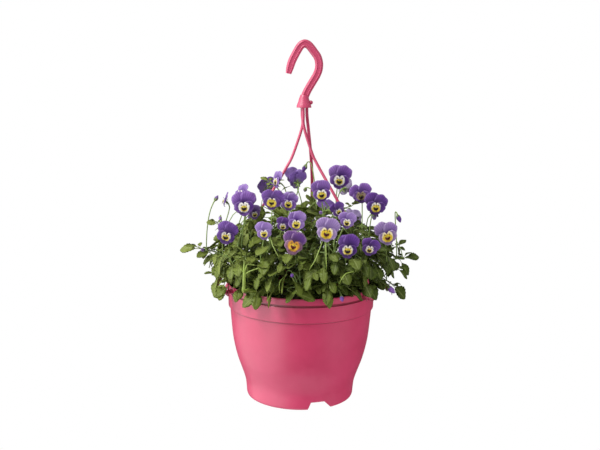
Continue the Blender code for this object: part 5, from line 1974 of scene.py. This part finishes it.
def blade_object(index, shapes):
    """A crenate leaf of unit length along X, folded and drooping, with its own stalk."""
    draw = seeded(f"blade {index}")
    fold, droop = draw.uniform(*BLADE_FOLDS), draw.uniform(*BLADE_DROOPS)
    ripple, swing = draw.uniform(*BLADE_RIPPLES), draw.uniform(*BLADE_SWINGS)
    widest, blunt = draw.choice(BLADE_WIDTHS), draw.uniform(*BLADE_BLUNTS)
    bm = bmesh.new()
    layer = bm.loops.layers.uv.new("UVMap")
    spots = {}

    def spot(x, v, half, depth=0.0):
        y = v * half
        z = fold * abs(y) - droop * x * x + ripple * sin(9 * x + 3 * v) * abs(v) - depth
        vert = bm.verts.new((x, y + swing * x * x, z))
        spots[vert] = (0.5 + v / 2, (x - BLADE_BASE) / (1 - BLADE_BASE))
        return vert

    def face(*verts):
        made = bm.faces.new(verts)
        for loop in made.loops:
            loop[layer].uv = spots[loop.vert]

    root, tip = spot(BLADE_BASE, 0, 0), spot(1.0, 0, 0)
    rows = []
    for station in range(1, BLADE_STATIONS):
        share = station / BLADE_STATIONS
        half = widest * sin(pi * share**blunt) ** BLADE_FULLNESS * BLADE_TEETH[station % 2]
        x = BLADE_BASE + (1 - BLADE_BASE) * share
        rows.append(([spot(x, v, half) for v in (-1, -0.5, 0, 0.5, 1)], spot(x, 0, half, BLADE_DEPTH)))
    for (top, under), (next_top, next_under) in zip(rows, rows[1:]):
        for k in range(4):
            face(top[k], next_top[k], next_top[k + 1], top[k + 1])
        face(top[0], under, next_under, next_top[0])
        face(under, top[4], next_top[4], next_under)
    for end, (top, under), flip in ((root, rows[0], False), (tip, rows[-1], True)):
        for first, second in (*zip(top, top[1:]), (under, top[0]), (top[4], under)):
            face(end, *((second, first) if flip else (first, second)))
    rings = []
    for x in BLADE_STALK:
        low = -droop * x * x - BLADE_STALK_DROP
        ring = []
        for turn in range(STEM_SIDES):
            up, aside = on_circle(BLADE_STALK_RADIUS, tau * turn / STEM_SIDES)
            ring.append(bm.verts.new((x, aside + swing * x * x, low + up)))
            spots[ring[-1]] = (0.5, 0.05)
        rings.append(ring)
    for corners in ring_faces(rings):
        face(*corners)
    face(*rings[0])
    face(*reversed(rings[-1]))
    name = f"blade_{index}"
    shapes.objects.link(bpy.data.objects.new(name, smooth_all(mesh_of(bm, name))))


def leaves_mesh(plant, shapes):
    """The plant's leaves, one of the blades on each place with its own turn, size and tint."""
    draw = seeded(f"leaves {plant.name}")
    turns, sizes, kinds, tints = [], [], [], []
    for matrix, length, age in plant.leaves:
        turns.extend(matrix.to_euler("XYZ"))
        sizes.extend((length, length * draw.uniform(0.82, 1.05), length))
        kinds.append(draw.randrange(BLADE_VARIANTS))
        place = matrix.translation
        # Paler higher up, and paler to the left as painted light from the key
        young = (place.z - YOUNG_HEIGHT) * YOUNG_UPWARDS - place.x * PAINTED_LIGHT_LEFTWARDS
        young += draw.uniform(-YOUNG_SPREAD, YOUNG_SPREAD)
        tints.append(max(0.0, min(1.0, young)) if age is None else age)
    spots = wire_object(f"{plant.name}_leaves", [matrix.translation for matrix, _, _ in plant.leaves], [])
    for name, kind, values in (
        ("turn", "FLOAT_VECTOR", turns), ("size", "FLOAT_VECTOR", sizes), ("kind", "INT", kinds),
        ("tint", "FLOAT", tints),
    ):
        set_attribute(spots.data, name, kind, values)
    return run_tree(spots, PLANTING, {"Shapes": shapes, "Material": LEAF})


def stems_mesh(name, stems, section, finish):
    paths = [(path, radii, path_sides(path, STEM_SIDE)) for path, radii in stems]
    return swept_mesh(name, paths, section, STEM_STEPS, finish)


def dress_plants():
    """Each plant's leaves, stems and crown as one piece."""
    shapes = bpy.data.collections.new("blades")
    for index in range(BLADE_VARIANTS):
        blade_object(index, shapes)
    turns = [tau * k / STEM_LOOK_SIDES for k in range(STEM_LOOK_SIDES)]
    section = outline_object("stem_outline", [on_circle(1, turn) for turn in turns])
    for plant in grow_plants():
        name = f"{plant.name}_foliage"
        crown = [plant.foot + Vector((0, 0, height)) for height in CROWN_HEIGHTS]
        petioles = [(path, [PETIOLE_RADIUS] * len(path)) for path in plant.petioles]
        stems = [(crown, CROWN_RADII), *plant.stems, *petioles]
        layers = [leaves_mesh(plant, shapes), stems_mesh(name, stems, section, STEM)]
        if plant.young_stems:
            layers.append(stems_mesh(name, plant.young_stems, section, YOUNG_STEM))
        finish_piece(name, smooth_all(join_meshes(name, layers)), plant.name)
    for obj in (section, *shapes.objects):
        remove_object(obj)
    bpy.data.collections.remove(shapes)


# Blooms and buds

def petal(bm, layers, shape, width, spread, gold_share, draw):
    """One petal as a rounded, ruffled sheet, drawn in the plane of the bloom."""
    hand, direction, middle, half_length, half_width, flare, lift, is_lower = shape
    uv, lower, rim, gold = layers
    angle = radians(direction + (0 if is_lower else spread) + draw.uniform(*PETAL_TURNS))
    outward = Vector((hand * cos(angle), sin(angle), 0))
    across = Vector((-outward.y, outward.x, 0))
    waves, phase = draw.choice((4, 5, 6)), draw.uniform(0, tau)
    ruffle = width * draw.uniform(*PETAL_RUFFLES)
    frill = draw.uniform(*PETAL_FRILLS)
    curl = width * draw.uniform(*PETAL_CURLS)
    size = draw.uniform(*PETAL_SIZES)
    steps = [-1 + 2 * k / (PETAL_GRID - 1) for k in range(PETAL_GRID)]
    grid = []
    for t in steps:
        row = []
        for s in steps:
            x = s * sqrt(1 - t * t / 2)
            y = t * sqrt(1 - s * s / 2)
            reach = hypot(x, y)
            notch = 1 - 0.03 * max(0.0, cos(2.2 * x)) * max(0.0, y) ** 3
            turn = atan2(x, y + 0.15)
            edge = 1 + frill * reach**4 * sin((waves + 2) * turn + 2 * phase)
            along = (middle + half_length * y * notch * edge) * size
            aside = half_width * x * (1 + flare * y) * size * edge
            spot = (outward * along + across * aside) * width
            open_share = max(0.0, along / (middle + half_length))
            rise = ruffle * reach**3 * sin(waves * turn + phase) * open_share
            spot.z = lift + curl * open_share**2 * reach + rise
            vert = bm.verts.new(spot)
            vert[lower] = is_lower
            vert[rim] = reach if y > -0.3 else 0.0
            vert[gold] = gold_share
            row.append(vert)
        grid.append(row)
    for low, high in zip(grid, grid[1:]):
        for k in range(PETAL_GRID - 1):
            made = bm.faces.new((low[k], low[k + 1], high[k + 1], high[k]))
            made.smooth = True
            for loop in made.loops:
                place = loop.vert.co / width
                loop[uv].uv = (0.5 + place.x / 2, 0.5 + place.y / 2)
            made.normal_update()
            if made.normal.z < 0:
                made.normal_flip()


def sepal(angle, length, width, lean):
    """A narrow green sepal that points outwards, as a drawing of its own."""
    bm = bmesh.new()
    outward = Vector((*on_circle(1, angle), 0))
    across = Vector((-outward.y, outward.x, 0))
    rows = []
    for share, half in SEPAL_ROWS:
        middle = outward * length * share + Vector((0, 0, -lean * share))
        edge = across * half * width / 2
        corners = (edge, Vector((0, 0, 0.0004)), -edge, Vector((0, 0, -0.0003)))
        rows.append([bm.verts.new(middle + corner) for corner in corners])
    tip = bm.verts.new(outward * length + Vector((0, 0, -lean)))
    for corners in ring_faces(rows):
        bm.faces.new(corners)
    for k in range(4):
        bm.faces.new((rows[-1][k], rows[-1][(k + 1) % 4], tip))
    bm.faces.new(rows[0])
    return bm


def round_bit(bm, place, size):
    """A small rounded body, such as the green nose in the throat."""
    made = bmesh.ops.create_icosphere(bm, subdivisions=2, radius=1.0)
    for vert in made["verts"]:
        vert.co = Vector(place) + Vector(a * b for a, b in zip(vert.co, size))


def green_parts(width, draw):
    """The sepals, spur and nose of a bloom."""
    bm = bmesh.new()
    for index in range(SEPALS):
        angle = tau * (index + 0.25) / SEPALS + draw.uniform(-0.15, 0.15)
        part = sepal(angle, width * draw.uniform(0.24, 0.32), width * 0.085, draw.uniform(0.0, 0.0016))
        bmesh.ops.translate(part, verts=part.verts, vec=(0, 0, -0.0044))
        add_part(bm, part)
    round_bit(bm, (0, 0.035 * width, 0.0021), (0.02 * width, 0.026 * width, 0.001))
    round_bit(bm, (0, 0, -0.0036), (0.0016, 0.0016, 0.0012))
    return smooth_all(mesh_of(bm, "green_parts", STEM))


def finish_flower(name, layers, matrix, colour):
    mesh = join_meshes(name, layers)
    mesh.transform(matrix)
    finish_piece(f"viola_{name}", mesh, name)


def dress_bloom(index, place, width, azimuth, pitch, roll, colour):
    """An open bloom: five petals given their thickness, with its green parts."""
    draw = seeded(f"bloom {index}")
    bm = bmesh.new()
    marks = [bm.verts.layers.float.new(name) for name in ("lower", "rim", "gold")]
    layers = (bm.loops.layers.uv.new("UVMap"), *marks)
    spread = draw.uniform(*UPPER_SPREAD)
    for shape in PETAL_SHAPES:
        petal(bm, layers, shape, width, spread, GOLD_SHARES.get(index, 1.0), draw)
    finishes = (PETAL_FRONTS[SHADED_BLOOMS.get(index, colour)], PETAL_REARS[colour])
    obj = new_object("petals", mesh_of(bm, "petals", *finishes, closed=False))
    shell = obj.modifiers.new("Petal thickness", "SOLIDIFY")
    shell.thickness = PETAL_SHELL
    shell.offset = -1
    shell.material_offset = 1
    shell.material_offset_rim = 0
    layers = [evaluated_mesh(obj), green_parts(width, draw)]
    finish_flower(f"bloom_{index:02d}", layers, facing_frame(place, azimuth, pitch, roll), colour)


def dress_bud(index, place, length, azimuth, pitch, colour):
    """A furled bud: petals wound into a drop, held by green sepals at its foot."""
    draw = seeded(f"bud {index}")
    bm = bmesh.new()
    uv = bm.loops.layers.uv.new("UVMap")
    twist = draw.uniform(1.4, 2.4)
    rows = []
    for ring in range(1, BUD_RINGS):
        share = ring / BUD_RINGS
        radius = 0.25 * length * sin(pi * share**0.85) ** 0.8
        row = []
        for side in range(BUD_SIDES):
            angle = tau * side / BUD_SIDES
            fold = 1 + 0.13 * cos(3 * (angle - twist * share * 2)) * share
            row.append(bm.verts.new((*on_circle(radius * fold, angle), share * length)))
        rows.append(row)
    foot, tip = bm.verts.new((0, 0, 0)), bm.verts.new((0, 0, length))
    for corners in ring_faces(rows):
        bm.faces.new(corners)
    for k in range(BUD_SIDES):
        after = (k + 1) % BUD_SIDES
        bm.faces.new((foot, rows[0][after], rows[0][k]))
        bm.faces.new((tip, rows[-1][k], rows[-1][after]))
    for face in bm.faces:
        for loop in face.loops:
            loop[uv].uv = (0.5, 0.5 + 0.5 * (0.25 + 0.6 * loop.vert.co.z / length))
    petals = smooth_all(mesh_of(bm, "furled_petals", PETAL_FRONTS[colour]))
    greens = bmesh.new()
    for k in range(SEPALS):
        part = sepal(0.0, length * draw.uniform(0.42, 0.52), length * 0.2, 0.0)
        bulge = length * 0.22
        for vert in part.verts:
            share = vert.co.x / (length * 0.5)
            out = 0.0006 + bulge * sin(min(1.0, share) * pi * 0.55) + vert.co.z
            vert.co = Vector((out, vert.co.y, vert.co.x - 0.0004))
        part.transform(Matrix.Rotation(tau * k / SEPALS, 4, "Z"))
        add_part(greens, part)
    layers = [petals, smooth_all(mesh_of(greens, "bud_sepals", STEM))]
    finish_flower(f"bud_{index:02d}", layers, facing_frame(place, azimuth, pitch), colour)


# Stage, lights and camera

def new_lamp(name, kind, power, way):
    """A light that shines this way, and its data."""
    light = bpy.data.lights.new(name, kind)
    light.energy = power
    lamp = new_object(name, light)
    lamp.rotation_euler = way.to_track_quat("-Z", "Y").to_euler()
    return lamp, light


def set_lights():
    _, key = new_lamp("key", "SUN", KEY_POWER, -Vector(KEY_SIDE))
    key.angle = radians(KEY_SOFTNESS)
    for name, (place, size, power, glossy) in AREA_LIGHTS.items():
        lamp, light = new_lamp(name, "AREA", power, Vector(LIGHT_AIM) - Vector(place))
        light.shape = "RECTANGLE"
        light.size, light.size_y = size
        lamp.location = place
        lamp.visible_glossy = glossy


def set_world():
    """White to the camera, with a dim light round the piece that is stronger from above."""
    world = bpy.data.worlds.new("studio")
    bpy.context.scene.world = world
    world.use_nodes = True
    tree = world.node_tree
    backdrop = tree.nodes["Background"]
    backdrop.inputs["Color"].default_value = (1, 1, 1, 1)
    way = tree.nodes.new("ShaderNodeTexCoord").outputs["Generated"]
    dim = fade(tree, split(tree, way)["Z"], -0.4, 0.35, AMBIENT_BELOW, AMBIENT)
    seen = tree.nodes.new("ShaderNodeLightPath").outputs["Is Camera Ray"]
    tree.links.new(calc(tree, "MAXIMUM", seen, dim), backdrop.inputs["Strength"])


def set_stage():
    bm = bmesh.new()
    bmesh.ops.create_circle(bm, cap_ends=True, segments=96, radius=FLOOR_RADIUS)
    bm.transform(Matrix.Translation((0, 0, FLOOR_HEIGHT)))
    finish, _ = new_material("floor", 0.9, Base_Color=FLOOR_COLOUR)
    new_object("floor", mesh_of(bm, "floor", finish, closed=False))
    set_world()
    set_lights()
    bpy.context.scene.view_settings.view_transform = "Standard"


def set_camera():
    lens = bpy.data.cameras.new("camera")
    lens.lens = CAMERA_LENS
    lens.sensor_width = SENSOR_WIDTH
    camera = new_object("camera", lens)
    camera.location = CAMERA_PLACE
    turn = Matrix.Rotation(radians(CAMERA_TURN), 3, "Z")
    tilt = Matrix.Rotation(radians(90 + CAMERA_TILT), 3, "X")
    camera.rotation_euler = (tilt @ turn).to_euler()
    bpy.context.scene.camera = camera


set_camera()
set_stage()
TURNING, SWEEPING, PLANTING, STREWING = turning_tree(), sweeping_tree(), planting_tree(), strewing_tree()
SKIN, FACE, BLADE = moulding_group(), marking_group(), vein_group()
PLASTIC = plastic_material("pot plastic", *POT_COLOURS, SKIN, CREASES)
HANGER = plastic_material("hanger plastic", *HANGER_COLOURS, SKIN)
COMPOST, WHITE_GRAIN = compost_material(), perlite_material()
LEAF = leaf_material("viola leaf", *LEAF_COLOURS, BLADE)
STEM = stem_material("stem", *STEM_COLOURS)
YOUNG_STEM = stem_material("young stem", *YOUNG_STEM_COLOURS)
PETAL_FRONTS = {key: petal_material(f"{key} petal", look, FACE) for key, look in PETAL_LOOKS.items()}
PETAL_REARS = {
    key: petal_back_material(f"{key} petal back", *tones, FACE) for key, tones in PETAL_BACKS.items()
}
dress_pot()
dress_soil()
dress_hook()
for strap_name in STRAP_AZIMUTHS:
    dress_strap(strap_name)
dress_plants()
for number, values in enumerate(BLOOMS):
    dress_bloom(number + 1, *values)
for number, values in enumerate(BUDS):
    dress_bud(number + 1, *values)
